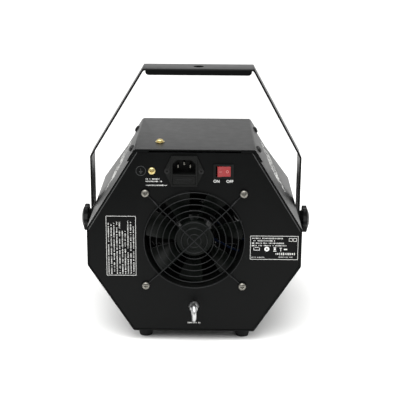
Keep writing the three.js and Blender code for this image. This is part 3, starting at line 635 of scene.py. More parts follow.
def printed_rows():
    """Rows of small ink blocks that read as unreadable print: ragged ends and gaps for words."""
    sockets = {"Rows": "Int", "Row pitch": "Float", "Letters": "Int", "Letter pitch": "Float",
               "Letter height": "Float", "Ink": "Float", "Shortest": "Float", "Gaps": "Float",
               "Seed": "Int", "Material": "Material"}
    tree, given = new_tree("printed_rows", sockets)
    letters = add_node(tree, "GeometryNodeDeleteGeometry", {
        "Geometry": letter_slots(tree, given), "Selection": unused_slots(tree, given)}, domain="POINT")
    width = add_node(tree, "ShaderNodeMath", {0: given["Letter pitch"], 1: 0.52}, operation="MULTIPLY")
    size = add_node(tree, "ShaderNodeCombineXYZ", {
        "X": width.outputs[0], "Y": given["Ink"], "Z": given["Letter height"]})
    ink = add_node(tree, "GeometryNodeMeshCube", {"Size": size.outputs[0]})
    shape = add_node(tree, "FunctionNodeRandomValue", {
        0: (0.5, 1.0, 0.6), 1: (1.2, 1.0, 1.0), "Seed": given["Seed"]}, data_type="FLOAT_VECTOR")
    print_block = add_node(tree, "GeometryNodeInstanceOnPoints", {
        "Points": letters.outputs[0], "Instance": ink.outputs[0], "Scale": shape.outputs[0]})
    outward = add_node(tree, "GeometryNodeInputNamedAttribute", {"Name": "outward"},
                       data_type="FLOAT_VECTOR")
    placed = add_node(tree, "GeometryNodeInstanceOnPoints", {
        "Points": given["Geometry"], "Instance": print_block.outputs[0], "Rotation": outward.outputs[0]})
    return close_tree(tree, placed.outputs[0], given["Material"])


SET_ON_POINTS = set_on_points()
SET_ROUND_AXIS = set_round_axis()
GUARD_HOOPS = guard_hoops()
PRINTED_ROWS = printed_rows()


def master(piece):
    """Names a shape that is only copied from, until drop_master removes it."""
    piece.name = "master_" + piece.name
    return piece


def drop_master(piece):
    mesh = piece.data
    bpy.data.objects.remove(piece)
    bpy.data.meshes.remove(mesh)


# ------------------------------------------------------------------------------ sheet metal

# Radii in millimetres, as round_edges and eased take them.
OUTER_BEND = 2.6
INNER_BEND = 1.1
RIM_BEND = 1.2
CUT_EDGE = 0.22


def folded_sheet(node):
    """A folded sheet, with the radius that a press brake leaves on both sides of each bend."""
    bm = bmesh_of(node)
    round_edges(bm, lambda e: is_fold(e) and is_outer(e), OUTER_BEND)
    round_edges(bm, lambda e: is_fold(e) and not is_outer(e), INNER_BEND, 3)
    piece = piece_of(bm, node + "_sheet", powder_coat)
    return stands_for(eased(piece, CUT_EDGE), node)


def rear_tray():
    """The panel, whose rim turns in over a rounded edge that catches the light; along the upper slopes that
    edge is given a painted highlight.
    """
    bm = bmesh_of("rear_panel")
    face = PANEL_FACE - 0.05 * MM
    shortest_side = 36 * MM

    def on_rim(edge):
        return all(v.co.y > face for v in edge.verts) and edge.calc_length() > shortest_side

    def on_upper_slope(edge):
        low, high = sorted(v.co.z for v in edge.verts)
        return high - low > 10 * MM and (low + high) / 2 > PIVOT.z + 15 * MM

    # Along the upper slopes the rim's rounding takes slot 1, the lighter, glossier coat: a painted
    # highlight.
    round_edges(bm, lambda e: on_rim(e) and on_upper_slope(e), RIM_BEND, slot=1)
    round_edges(bm, on_rim, RIM_BEND)
    piece = piece_of(bm, "rear_panel_tray", powder_coat)
    piece.data.materials.append(rim_highlight_coat)
    return stands_for(eased(piece, CUT_EDGE), "rear_panel")


def yoke_strap():
    """Strap with generous bends, and stiffening flanges turned down along the crossbar."""
    bm = bmesh_of("yoke")
    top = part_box("yoke")[1].z - 0.05 * MM

    flange_bend, strap_outer, strap_inner = 1.6, 4.5, 2.5
    shortest_flange = 90 * MM

    def on_flange(edge):
        along_bar = runs_along(edge, AXIS_X) and edge.calc_length() > shortest_flange
        return along_bar and all(v.co.z > top for v in edge.verts)

    round_edges(bm, on_flange, flange_bend, 4)
    round_edges(bm, lambda e: is_fold(e) and is_outer(e), strap_outer)
    round_edges(bm, lambda e: is_fold(e) and not is_outer(e), strap_inner, 4)
    piece = piece_of(bm, "yoke_strap", powder_coat)
    return stands_for(eased(piece, 0.3), "yoke")


folded_sheet("case_shell")
folded_sheet("lid")
folded_sheet("front_panel")
rear_tray()
yoke_strap()


# ----------------------------------------------------------------------------------- screws

def cross_recess(width, depth):
    """The tapered cross that a screwdriver's tip fits."""
    bars = []
    for turn in (0, math.pi / 2):
        bar = bmesh.new()
        bmesh.ops.create_cube(bar, size=1)
        for vert in bar.verts:
            reach = width if vert.co.y > 0 else width * 0.55
            vert.co = Vector((vert.co.x * reach, vert.co.y * depth * 2, vert.co.z * reach * 0.26))
        bars.append(moved(bar, (0, 0, 0), Matrix.Rotation(turn, 3, "Y")))
    return merged(*bars)


def screw_head(name, radius, height, sunk=False, slot=False):
    """A domed or countersunk head with its seat at y = 0, and a cut for the driver."""
    if sunk:
        profile = [(0, -height), (radius * 0.5, -height), (radius, -0.1 * height), (radius, 0),
                   (0, 0.02 * height)]
    else:
        profile = [(0, -0.3 * MM), (radius * 0.92, -0.3 * MM), (radius, 0), (radius * 0.98, height * 0.35),
                   (radius * 0.86, height * 0.68), (radius * 0.6, height * 0.9),
                   (radius * 0.3, height * 0.98), (0, height)]
    head = piece_of(turned(filleted(profile, radius * 0.12, 3), 40), name, None)
    if slot:
        cut = block(radius * 2.4, height * 0.8, radius * 0.3)
    else:
        cut = cross_recess(radius * 1.3, height * 0.95)
    cutter = piece_of(moved(cut, (0, 0 if sunk else height, 0)), "cutter", None)
    boolean = head.modifiers.new("recess", "BOOLEAN")
    boolean.object = cutter
    boolean.solver = "EXACT"
    boolean.use_self = True
    baked(head)
    drop_master(cutter)
    return master(head)


def screws(name, nodes, outward, head, material, seat):
    """One piece for all the screws of a kind, each at the seat that its node gives."""
    points = [(seat(node, outward(node)), outward(node)) for node in nodes]
    values = {"Shape": head, "Size": 1.0, "Material": material}
    piece = grown(SET_ON_POINTS, name, points, values, smooth=34)
    drop_master(head)
    return stands_for(piece, *nodes)


def face_seat(head_height):
    """Seats screws on the rear panel's side, whose heads end at their node's far face."""
    def seat(node, _):
        middle = centre(node)
        return Vector((middle.x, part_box(node)[1].y - head_height, middle.z))
    return seat


def top_seat(node, _):
    """Seats a screw on the lid, whose head ends at its node's top."""
    middle = centre(node)
    return Vector((middle.x, middle.y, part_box(node)[1].z - LID_HEAD))


def under_seat(node, _):
    """Seats a screw in a foot, whose head ends at its node's lowest point."""
    middle = centre(node)
    return Vector((middle.x, middle.y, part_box(node)[0].z + FOOT_HEAD))


def slope_seat(node, outward):
    """Seats a screw in the lid's flange, whose head ends at its node's furthest point outward."""
    mesh = frame["nodes"][node].data
    reach = max(v.co.dot(outward) for v in mesh.vertices)
    top = [v.co for v in mesh.vertices if v.co.dot(outward) > reach - 0.05 * MM]
    return sum(top, Vector()) / len(top) - outward * LID_HEAD


def slope_outward(side):
    """Square to the case's upper slope, on the +X side or the -X side."""
    rise = Vector((-SLOPE_RUN, SLOPE_RISE)).normalized()
    return Vector((side * rise.y, 0, -rise.x))


def off_panel(_):
    return AXIS_Y


def upwards(_):
    return AXIS_Z


def downwards(_):
    return -AXIS_Z


def off_slope(node):
    return slope_outward(1 if centre(node).x > 0 else -1)


# The heights of the screws' heads.
FAN_HEAD = 2.5 * MM
EARTH_HEAD = 2.4 * MM
INLET_HEAD = 1.7 * MM
FOOT_HEAD = 2.4 * MM
LID_HEAD = 2.6 * MM

FAN_CORNERS = ["upper_right", "upper_left", "lower_left", "lower_right"]
FOOT_NAMES = ["front_left", "front_right", "rear_left", "rear_right"]
FLANGE_ENDS = ["left_rear", "left_front", "right_rear", "right_front"]

# The fan screws take the darker nickel, which is partly painted shade.
screws("fan_screws", ["fan_screw_" + n for n in FAN_CORNERS], off_panel,
       screw_head("fan_screw_head", 4.3 * MM, FAN_HEAD), dull_and_shaded_nickel, face_seat(FAN_HEAD))
screws("earth_screw_brass", ["earth_screw"], off_panel,
       screw_head("earth_screw_head", 4.1 * MM, EARTH_HEAD), turned_brass, face_seat(EARTH_HEAD))
screws("inlet_screws", ["inlet_screw_left", "inlet_screw_right"], off_panel,
       screw_head("inlet_screw_head", 3.0 * MM, INLET_HEAD, sunk=True), black_oxide, face_seat(0))
screws("terminal_screw_brass", ["lid_terminal_screw"], upwards,
       screw_head("terminal_screw_head", 3.8 * MM, LID_HEAD, slot=True), turned_brass, top_seat)
screws("foot_screws", ["foot_screw_" + n for n in FOOT_NAMES], downwards,
       screw_head("foot_screw_head", 3.9 * MM, FOOT_HEAD), zinc_plate, under_seat)
screws("lid_screws", ["lid_screw_" + n for n in FLANGE_ENDS], off_slope,
       screw_head("lid_screw_head", 4.0 * MM, LID_HEAD), black_oxide, slope_seat)


# --------------------------------------------------------------------------- knobs and feet

KNOB_RADIUS = 16
LOBE = 1.5
LOBES = 6

# Stations from the knob's boss to its cap, in millimetres: how far along its axis, how far
# inside its outline, and how much of the lobes is left there.
KNOB_STATIONS = [
    (4.0, 5.5, 0.2), (4.0, 1.4, 0.8), (4.12, 0.7, 0.9), (4.5, 0.25, 1), (5.1, 0, 1), (8.8, 0, 1),
    (9.4, 0.3, 1), (9.8, 1.0, 0.9), (10.1, 2.1, 0.6), (10.7, 3.4, 0.25), (11.3, 4.7, 0), (11.8, 6.3, 0),
    (12.0, 7.0, 0), (11.7, 7.4, 0), (11.7, 7.9, 0), (12.1, 8.3, 0), (12.4, 10.5, 0), (12.55, 12.5, 0),
]


def lobed_ring(bm, x, inset, lobe, sides=120):
    """A ring of the knob's outline, drawn in by inset millimetres."""
    ring = []
    for i in range(sides):
        angle = 2 * math.pi * i / sides
        radius = (KNOB_RADIUS - LOBE - inset + lobe * LOBE * math.cos(LOBES * angle)) * MM
        ring.append(bm.verts.new((x * MM, radius * math.cos(angle), radius * math.sin(angle))))
    return ring


def star_knob(hand, side):
    """Six-lobed grip with a rolled edge, a domed face with a cap groove, and a boss behind."""
    bm = bmesh.new()
    rings = [lobed_ring(bm, *station) for station in KNOB_STATIONS]
    for lower, upper in zip(rings, rings[1:]):
        join_rings(bm, lower, upper)
    bm.faces.new(rings[0])
    bm.faces.new(rings[-1])
    boss_line = filleted([(0, 0), (8.5 * MM, 0), (11 * MM, 4.3 * MM), (0, 4.3 * MM)], 0.8 * MM)
    boss = moved(turned(boss_line, 64), (0, 0, 0), Matrix.Rotation(-math.pi / 2, 3, "Z"))
    whole = merged(bm, boss)
    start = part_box("knob_" + hand)[0].x if side > 0 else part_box("knob_" + hand)[1].x
    turn = Matrix.Rotation(0 if side > 0 else math.pi, 3, "Z")
    moved(whole, (start, 0, PIVOT.z), turn)
    piece = piece_of(whole, "knob_" + hand + "_star", knob_phenolic, 50)
    return stands_for(piece, "knob_" + hand)


star_knob("right", 1)
star_knob("left", -1)


def rubber_foot(name):
    """Tapered foot with a rolled lower rim, and a well for its screw."""
    low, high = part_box("foot_" + name)
    middle = (low + high) / 2
    top = (high.z - low.z) / MM
    line = [(2.4, 4.5), (4.2, 4.5), (4.2, 0.1), (5.2, 0), (7.2, 0), (9.3, top), (2.4, top)]
    profile = filleted([(r * MM, h * MM) for r, h in line], 0.35 * MM, 3, closed=True)
    bm = turned(profile, 64)
    moved(bm, (middle.x, middle.y, low.z), Matrix.Rotation(math.pi / 2, 3, "X"))
    return stands_for(piece_of(bm, "foot_" + name + "_rubber", moulded_rubber, 45), "foot_" + name)


for foot_name in FOOT_NAMES:
    rubber_foot(foot_name)


# -------------------------------------------------------------------------------------- fan

BLADES = 7
HUB_RADIUS = 20 * MM
LEAD_AT_HUB = math.radians(8)
LEAD_AT_TIP = math.radians(16)
BLADE_SPAN = math.radians(27)
BLADE_THICK = 1.7 * MM
FAN_SCREW = 52.5 * MM


def blade_point(out, along, face, front_y, depth):
    """A point on a blade: out to its tip, along from its leading edge, on its face or its back."""
    root = HUB_RADIUS - 1.2 * MM
    radius = root + (FAN_RADIUS - root) * out
    camber = along + 0.22 * math.sin(math.pi * along)
    span = BLADE_SPAN * (0.92 + 0.22 * math.sin(math.pi * out * 0.8))
    lead = LEAD_AT_HUB + (LEAD_AT_TIP - LEAD_AT_HUB) * out
    angle = lead + span * along
    fall = depth * (0.02 + (0.82 - 0.34 * out) * camber)
    thinning = math.sin(math.pi * min(max(along, 0.03), 0.97)) ** 0.35
    y = front_y - fall - face * BLADE_THICK * thinning
    return (-radius * math.sin(angle), y, radius * math.cos(angle))


def rotor_blade():
    """One blade: broad, cambered and twisted, with its leading edge next to the intake."""
    low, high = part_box("fan_rotor")
    depth = high.y - low.y - 3 * MM
    front_y = high.y - 1.5 * MM
    across, along = 18, 14
    bm = bmesh.new()
    layers = []
    for face in (0, 1):
        rows = []
        for j in range(along + 1):
            points = [blade_point(j / along, i / across, face, front_y, depth) for i in range(across + 1)]
            rows.append([bm.verts.new(point) for point in points])
        layers.append(rows)
    for rows in layers:
        for j in range(along):
            for i in range(across):
                bm.faces.new([rows[j][i], rows[j][i + 1], rows[j + 1][i + 1], rows[j + 1][i]])
    front, back = layers
    rim = [(0, i) for i in range(across)] + [(j, across) for j in range(along)]
    rim += [(along, i) for i in range(across, 0, -1)] + [(j, 0) for j in range(along, 0, -1)]
    for (j, i), (jj, ii) in zip(rim, rim[1:] + rim[:1]):
        bm.faces.new([front[j][i], front[jj][ii], back[jj][ii], back[j][i]])
    return master(piece_of(bm, "rotor_blade", None, 45))


def fan_rotor():
    """Seven blades on a hub, whose face has the ring of a balance groove."""
    blade = rotor_blade()
    values = {"Shape": blade, "Count": BLADES, "First": 0.0, "Material": fan_pbt}
    blades = grown(SET_ROUND_AXIS, "fan_blades", [(Vector((0, 0, FAN.z)), AXIS_Y)], values, 45)
    drop_master(blade)
    rides_with(blades, "fan_rotor")
    back, face = [corner.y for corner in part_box("fan_rotor")]
    groove = face - 0.8 * MM
    r = HUB_RADIUS
    line = [(0, back), (r, back), (r, face), (r - 5 * MM, face), (r - 5.6 * MM, groove),
            (r - 7 * MM, groove), (r - 7.6 * MM, face), (0, face)]
    hub = piece_of(turned(filleted(line, 1.6 * MM, 5), 96), "fan_hub", fan_pbt, 40)
    moved_mesh(hub, (0, 0, FAN.z))
    return stands_for(hub, "fan_rotor")


def moved_mesh(piece, place):
    piece.data.transform(Matrix.Translation(place))
    return piece


def guard_arm(turn, arm_y, seat_y):
    """One of the crossed wires, with a loop at each end for its screw."""
    way = Vector((math.cos(turn), 0, math.sin(turn)))
    corner = FAN_SCREW * math.sqrt(2)
    loop, wire, loop_wire = 3.5 * MM, 0.6 * MM, 0.85 * MM
    bend, foot = 57.2 * MM, 62.5 * MM
    half = [(bend, arm_y), (foot, seat_y), (corner - loop, seat_y)]
    path = filleted([(-x, y) for x, y in reversed(half)] + half, 3 * MM, 6)
    shells = [tube_along([way * out + AXIS_Y * y for out, y in path], wire, 12)]
    angles = [2 * math.pi * i / 40 for i in range(40)]
    for end in (-1, 1):
        middle = way * end * corner + AXIS_Y * seat_y
        ring = [middle + Vector((loop * math.cos(a), 0, loop * math.sin(a))) for a in angles]
        shells.append(tube_along(ring, loop_wire, 10, closed=True))
    return shells


def wire_guard():
    """Hoops on two crossed wires, which dip outside the hoops to loops under the corner screws."""
    low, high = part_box("fan_guard")
    middle = Vector((0, high.y - 2.0 * MM, FAN.z))
    values = {"Hoops": 8, "First radius": 7.3 * MM, "Step": 6.7 * MM, "Wire radius": 0.48 * MM,
              "Material": lacquered_wire}
    hoops = grown(GUARD_HOOPS, "guard_hoops", [(middle, AXIS_Y)], values, 60)
    rides_with(hoops, "fan_guard")
    shells = []
    for turn in (math.pi / 4, 3 * math.pi / 4):
        shells += guard_arm(turn, high.y - 1.1 * MM, low.y + 1.0 * MM)
    arms = piece_of(merged(*shells), "guard_arms", lacquered_wire, 60)
    moved_mesh(arms, (0, 0, FAN.z))
    return stands_for(arms, "fan_guard")


fan_rotor()
wire_guard()


# -------------------------------------------------------------------------------- eye bolt

def eye_bolt():
    """A ring on a turned collar; it hangs square to the panel, turned a little to one side."""
    low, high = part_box("eye_bolt")
    middle = centre("eye_bolt")
    ring_r, wire_r = 7.85 * MM, 2.35 * MM
    ring_y = high.y - ring_r - wire_r
    turn = Matrix.Rotation(math.radians(6), 3, "Z")
    angles = [2 * math.pi * i / 72 for i in range(72)]
    ring = [turn @ Vector((0, ring_r * math.cos(a), ring_r * math.sin(a))) for a in angles]
    hoop = tube_along(ring, wire_r, 20, closed=True)
    moved(hoop, (0, ring_y, 0))
    neck_y = ring_y - ring_r
    line = [(0, low.y), (2.9 * MM, low.y), (2.9 * MM, neck_y - 3.6 * MM), (4.4 * MM, neck_y - 3.4 * MM),
            (4.4 * MM, neck_y - 1.2 * MM), (2.8 * MM, neck_y + 0.4 * MM), (2.4 * MM, neck_y + 1.4 * MM),
            (0, neck_y + 1.4 * MM)]
    shank = turned(filleted(line, 0.6 * MM, 4), 40)
    whole = moved(merged(hoop, shank), (0, 0, middle.z))
    return stands_for(piece_of(whole, "eye_bolt_ring", nickel_plate, 50), "eye_bolt")


def domed_nut():
    """A hexagon on a washer face, domed towards the ring."""
    low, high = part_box("eye_bolt_nut")
    middle = centre("eye_bolt_nut")
    half = (high.x - low.x) / 2
    dome = [(0, low.y), (half, low.y), (half, low.y + 1.2 * MM), (half * 0.93, low.y + 2.6 * MM),
            (half * 0.74, high.y - 0.4 * MM), (half * 0.5, high.y + 1.2 * MM), (0, high.y + 1.6 * MM)]
    cap = turned(filleted(dome, 0.9 * MM, 5), 64)
    flats = []
    for k in range(6):
        angle = k * math.pi / 3
        flats.append((half * 0.97 * math.cos(angle), half * 0.97 * math.sin(angle)))
    hexagon = drawn(flats, low.y + 0.6 * MM, low.y + 2.8 * MM)
    whole = moved(merged(cap, hexagon), (middle.x, 0, middle.z))
    return stands_for(piece_of(whole, "eye_bolt_nut_domed", nickel_plate, 40), "eye_bolt_nut")


eye_bolt()
domed_nut()


# ----------------------------------------------------------------------- inlet and switch

def softened(node, width_mm, material=None, segments=2):
    """The node's own shape with eased edges, in its slot's finish unless another is given."""
    piece = piece_of(bmesh_of(node), node + "_part", material or FINISH_OF[SLOT_OF[node]])
    return stands_for(eased(piece, width_mm, segments), node)


softened("inlet_body", 0.35, segments=3)
softened("switch_body", 0.35, segments=3)
for pin in ("earth", "live", "neutral"):
    softened("inlet_pin_" + pin, 0.9, material=dull_and_shaded_nickel, segments=4)


def fuse_drawer():
    """The drawer, with a raised frame on its face for a fingernail."""
    softened("fuse_drawer", 0.3)
    middle = centre("fuse_drawer")
    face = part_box("fuse_drawer")[1].y - 0.8 * MM
    outline = filleted([(-6, -1.9), (6, -1.9), (6, 1.9), (-6, 1.9)], 0.6, 3, closed=True)
    path = [Vector((x * MM + middle.x, face, z * MM + middle.z)) for x, z in outline]
    raised = piece_of(tube_along(path, 0.22 * MM, 8, closed=True), "fuse_drawer_mark", moulded_abs, 60)
    return rides_with(raised, "fuse_drawer")


fuse_drawer()


def rocker():
    """The red key, with a bar on its ON half and a ring on its OFF half."""
    softened("switch_rocker", 0.45, segments=3)
    mesh = frame["nodes"]["switch_rocker"].data
    middle = centre("switch_rocker")
    valley_y = face_height(mesh, middle.x, middle.z)
    out, sunk, proud = 3.6 * MM, -0.1 * MM, 0.05 * MM
    w, h = 1.4 * MM, 0.25 * MM
    bar = drawn([(-w, -h), (w, -h), (w, h), (-w, h)], sunk, proud)
    ring = ring_print(1.5 * MM, 1.0 * MM, sunk, proud)
    marks = []
    for side, mark in ((1, bar), (-1, ring)):
        half = [v.co for v in mesh.vertices if (v.co.x - middle.x) * side > 0]
        edge = max(half, key=lambda co: co.y)
        slope = math.atan2(edge.y - valley_y, abs(edge.x - middle.x))
        place = (middle.x + side * out, valley_y + math.tan(slope) * out + 0.05 * MM, middle.z)
        marks.append(moved(mark, place, Matrix.Rotation(slope * side, 3, "Z")))
    return rides_with(piece_of(merged(*marks), "rocker_marks", faded_ink), "switch_rocker")


def face_height(mesh, x, z):
    """How far the shape reaches along +Y over a point of x and z."""
    best = -math.inf
    for polygon in mesh.polygons:
        corners = [mesh.vertices[i].co for i in polygon.vertices]
        normal = polygon.normal
        if normal.y > 0.3 and inside(corners, x, z):
            depth = corners[0].y - (normal.x * (x - corners[0].x) + normal.z * (z - corners[0].z)) / normal.y
            best = max(best, depth)
    return best


def inside(corners, x, z):
    """True if the point is on the same side of all the polygon's edges, seen along Y."""
    signs = []
    for a, b in zip(corners, corners[1:] + corners[:1]):
        signs.append((b.x - a.x) * (z - a.z) - (b.z - a.z) * (x - a.x))
    return all(s > -1e-12 for s in signs) or all(s < 1e-12 for s in signs)


def ring_print(outer, inner, low, high, segments=48):
    """A flat printed ring that faces +Y."""
    return turned([(outer, low), (outer, high), (inner, high), (inner, low)], segments)


rocker()


# ------------------------------------------------------------------------ wheel and motor

WANDS = 8
WAND_PLACE = 57 * MM
WAND_OUTER = 17 * MM
WAND_BORE = 13 * MM


def wand_master():
    """One wand: a ring with a rounded section, and fine ribs round it that hold the fluid."""
    half = 3.5 * MM
    line = filleted([(WAND_BORE, -half), (WAND_OUTER - 1.0 * MM, -half), (WAND_OUTER - 1.0 * MM, half),
                     (WAND_BORE, half)], 1.1 * MM, 4, closed=True)
    rim = turned(line, 64)
    shells = [rim]
    ribs = 36
    for i in range(ribs):
        rib = moved(block(0.8 * MM, 6.4 * MM, 2.0 * MM), (0, 0, WAND_OUTER - 1.0 * MM))
        shells.append(moved(rib, (0, 0, 0), Matrix.Rotation(2 * math.pi * i / ribs, 3, "Y")))
    whole = moved(merged(*shells), (0, 0, WAND_PLACE))
    return master(piece_of(whole, "wand", None, 40))


def wand_wheel():
    """Eight wands round a ribbed plate with a thick rim and a hub."""
    middle = centre("wand_wheel")
    wand = wand_master()
    values = {"Shape": wand, "Count": WANDS, "First": 0.0, "Material": moulded_abs}
    wands = grown(SET_ROUND_AXIS, "wands", [(middle, AXIS_Y)], values, 40)
    drop_master(wand)
    rides_with(wands, "wand_wheel")
    web_r = WAND_PLACE - WAND_OUTER + 1.8 * MM
    web, hub_r, hub_h, bore = 1.5 * MM, 13 * MM, 6 * MM, 3.8 * MM
    rim = 2.4 * MM
    half = [(bore, hub_h), (hub_r, hub_h), (hub_r + 1.5 * MM, web), (web_r - 2.5 * MM, web),
            (web_r - 2.0 * MM, rim), (web_r, rim)]
    line = [(r, -h) for r, h in half] + half[::-1]
    plate = turned(filleted(line, 0.6 * MM, 3, closed=True), 96)
    shells = [plate]
    for i in range(WANDS):
        for face in (-1, 1):
            rib = moved(block(1.6 * MM, 1.4 * MM, 27 * MM), (0, face * 2.0 * MM, 26 * MM))
            shells.append(moved(rib, (0, 0, 0), Matrix.Rotation(2 * math.pi * i / WANDS, 3, "Y")))
    plate = piece_of(moved(merged(*shells), middle), "wheel_plate", moulded_abs, 40)
    return stands_for(plate, "wand_wheel")


def gear_motor():
    """A drawn can with a rolled lip, behind a smaller boss with the shaft's bore."""
    low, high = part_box("gear_motor")
    middle = centre("gear_motor")
    radius = (high.x - low.x) / 2
    depth = high.y - low.y
    bore, boss, wall = 3.8 * MM, radius - 2 * MM, radius - 0.7 * MM
    line = [(0, 10 * MM), (bore, 10 * MM), (bore, 0), (boss, 0), (boss, 4 * MM), (radius, 4 * MM),
            (radius, 6 * MM), (wall, 6.6 * MM), (wall, depth - 3 * MM), (radius - 2.4 * MM, depth),
            (0, depth)]
    can = moved(turned(filleted(line, 0.8 * MM, 4), 96), (middle.x, low.y, middle.z))
    return stands_for(piece_of(can, "gear_motor_can", blackened_zinc_and_shade, 40), "gear_motor")


def wheel_nut():
    """A knurled brass thumb nut."""
    low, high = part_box("wheel_nut")
    middle = centre("wheel_nut")
    teeth, steps = 40, 160
    outline = []
    for i in range(steps):
        angle = 2 * math.pi * i / steps
        radius = 7.75 * MM + 0.22 * MM * math.sin(teeth * angle + 0.8)
        outline.append((radius * math.cos(angle), radius * math.sin(angle)))
    knurl = drawn(outline, low.y + 1.2 * MM, high.y)
    step = low.y + 1.4 * MM
    cap = turned(filleted([(0, low.y), (6.6 * MM, low.y), (7.4 * MM, step), (0, step)], 0.4 * MM), 64)
    whole = moved(merged(knurl, cap), (middle.x, 0, middle.z))
    return stands_for(piece_of(whole, "wheel_nut_knurled", turned_brass, 30), "wheel_nut")


wand_wheel()
gear_motor()
wheel_nut()
softened("fluid_tank", 0.9, segments=3)
softened("fan_frame", 0.5, segments=2)


# -------------------------------------------------------------------------------- the print

INK = 0.12 * MM
INK_FACE = PANEL_FACE + 0.03 * MM

# The rating plate's plain symbols: bars by their middle, width and height in millimetres.
PLATE_BARS = [
    (67.4, 95.1, 6.6, 0.5), (67.4, 98.3, 4.2, 0.5), (64.3, 96.6, 0.5, 2.6), (70.5, 96.6, 0.5, 2.6),
    (87.0, 98.4, 2.8, 0.6), (87.0, 96.4, 2.2, 2.0), (87.0, 94.2, 3.4, 0.8),
    (93.4, 96.0, 0.7, 4.0), (93.4, 97.6, 2.6, 0.6), (98.6, 96.2, 3.6, 1.4),
]


def on_panel(across, height):
    """A place on the rear panel: across to the right of a person who faces the panel."""
    return Vector((-across * MM, INK_FACE, height * MM + CASE_FLOOR))


def bar_print(across, height, width, tall):
    """A flat block of ink on the panel, by its middle."""
    w, h = width / 2 * MM, tall / 2 * MM
    return moved(drawn([(-w, -h), (w, -h), (w, h), (-w, h)], -INK / 2, INK / 2), on_panel(across, height))


def hoop_print(across, height, outer, inner):
    """A flat ring of ink on the panel, by its middle."""
    return moved(ring_print(outer * MM, inner * MM, -INK / 2, INK / 2), on_panel(across, height))


def outline_print(left, right, low, high, line=0.4):
    """A thin rectangular border."""
    return [
        bar_print((left + right) / 2, low, right - left, line),
        bar_print((left + right) / 2, high, right - left, line),
        bar_print(left, (low + high) / 2, line, high - low),
        bar_print(right, (low + high) / 2, line, high - low),
    ]


def rows_print(name, across, height, letters, letter_pitch, tall, seed,
               rows=1, pitch=3.0, shortest=1.0, turn=0.0, gaps=0.14):
    """Unreadable rows of print, which start at a place on the panel and run right or up."""
    values = {"Rows": rows, "Row pitch": pitch * MM, "Letters": letters, "Letter pitch": letter_pitch * MM,
              "Letter height": tall * MM, "Ink": INK, "Shortest": shortest, "Gaps": gaps, "Seed": seed,
              "Material": white_ink}
    spin = Vector((0, turn, math.pi))
    piece = grown(PRINTED_ROWS, name, [(on_panel(across, height), spin)], values)
    return rides_with(piece, "rear_panel")


def flat_word(word):
    """A word as a plain mesh, a little bolder than the font."""
    curve = bpy.data.curves.new("word_" + word, "FONT")
    curve.body = word
    curve.align_x = "CENTER"
    curve.align_y = "CENTER"
    curve.size = 1.0
    curve.extrude = 0.02
    curve.offset = 0.022
    text = bpy.data.objects.new("word_" + word, curve)
    bpy.context.scene.collection.objects.link(text)
    bpy.context.view_layer.update()
    mesh = bpy.data.meshes.new_from_object(text)
    bpy.data.objects.remove(text)
    return mesh


def span_of(mesh, axis):
    values = [v.co[axis] for v in mesh.vertices]
    return max(values) - min(values)


def switch_words():
    """ON and OFF, under the two halves of the switch."""
    height, tall = 171.9, 3.1
    upright = Matrix.Rotation(math.pi, 4, "Z") @ Matrix.Rotation(math.pi / 2, 4, "X")
    for word, left, right in (("ON", 20.0, 26.4), ("OFF", 33.6, 41.0)):
        mesh = flat_word(word)
        wanted = ((right - left) * MM, tall * MM, INK)
        shrink = Matrix.Diagonal([wanted[axis] / span_of(mesh, axis) for axis in range(3)] + [1])
        mesh.transform(Matrix.Translation(on_panel((left + right) / 2, height)) @ upright @ shrink)
        rides_with(piece_from(mesh, "switch_word_" + word, white_ink), "rear_panel")


def left_label():
    """A bordered block of ten upright columns."""
    border = piece_of(merged(*outline_print(-94.9, -63.2, 64.7, 132.2)), "left_label_border", white_ink)
    rides_with(border, "rear_panel")
    rows_print("left_label_print", -92.6, 66.5, letters=48, letter_pitch=1.28, tall=1.45, seed=3,
               rows=10, shortest=0.74, turn=-math.pi / 2)


def right_label():
    """A bordered rating plate: rows of print, a line of plain symbols and a bold bar."""
    shapes = outline_print(60.6, 111.9, 84.6, 111.2)
    shapes += outline_print(102.2, 105.6, 105.5, 108.9)
    shapes += outline_print(106.8, 110.2, 105.5, 108.9)
    shapes.append(hoop_print(78.4, 96.4, 2.7, 0.9))
    for bar in PLATE_BARS:
        shapes.append(bar_print(*bar))
    rides_with(piece_of(merged(*shapes), "right_label_marks", white_ink), "rear_panel")
    rows_print("right_label_print", 62.6, 108.6, letters=27, letter_pitch=1.4, tall=1.6, seed=11,
               rows=4, pitch=2.75, shortest=0.62)
    rows_print("right_label_maker", 88.4, 91.0, letters=11, letter_pitch=2.0, tall=2.9, seed=5, gaps=0.0)
    rows_print("right_label_foot", 62.4, 86.9, letters=12, letter_pitch=1.2, tall=1.1, seed=6)
    rows_print("right_label_note", 91.4, 87.3, letters=13, letter_pitch=1.2, tall=1.1, seed=8)


def earth_disc():
    """The earth symbol in a thin ring."""
    across = -57.0
    shapes = [hoop_print(across, 182.7, 5.3, 4.95)]
    for k, width in enumerate((4.0, 2.6, 1.2)):
        shapes.append(bar_print(across, 182.0 - 1.1 * k, width, 0.35))
    shapes.append(bar_print(across, 183.7, 0.35, 3.2))
    rides_with(piece_of(merged(*shapes), "earth_disc", grey_ink), "rear_panel")


def panel_notes():
    """The three rows by the earth screw, and the row under the eye."""
    rows_print("inlet_note_1", -51.4, 173.9, letters=11, letter_pitch=1.35, tall=1.7, seed=21)
    rows_print("inlet_note_2", -51.4, 171.3, letters=13, letter_pitch=1.35, tall=1.6, seed=22)
    rows_print("inlet_note_3", -51.4, 167.0, letters=17, letter_pitch=1.35, tall=1.6, seed=23)
    rows_print("eye_note", -6.4, 9.5, letters=12, letter_pitch=1.3, tall=1.6, seed=24)


BUBBLES = 44


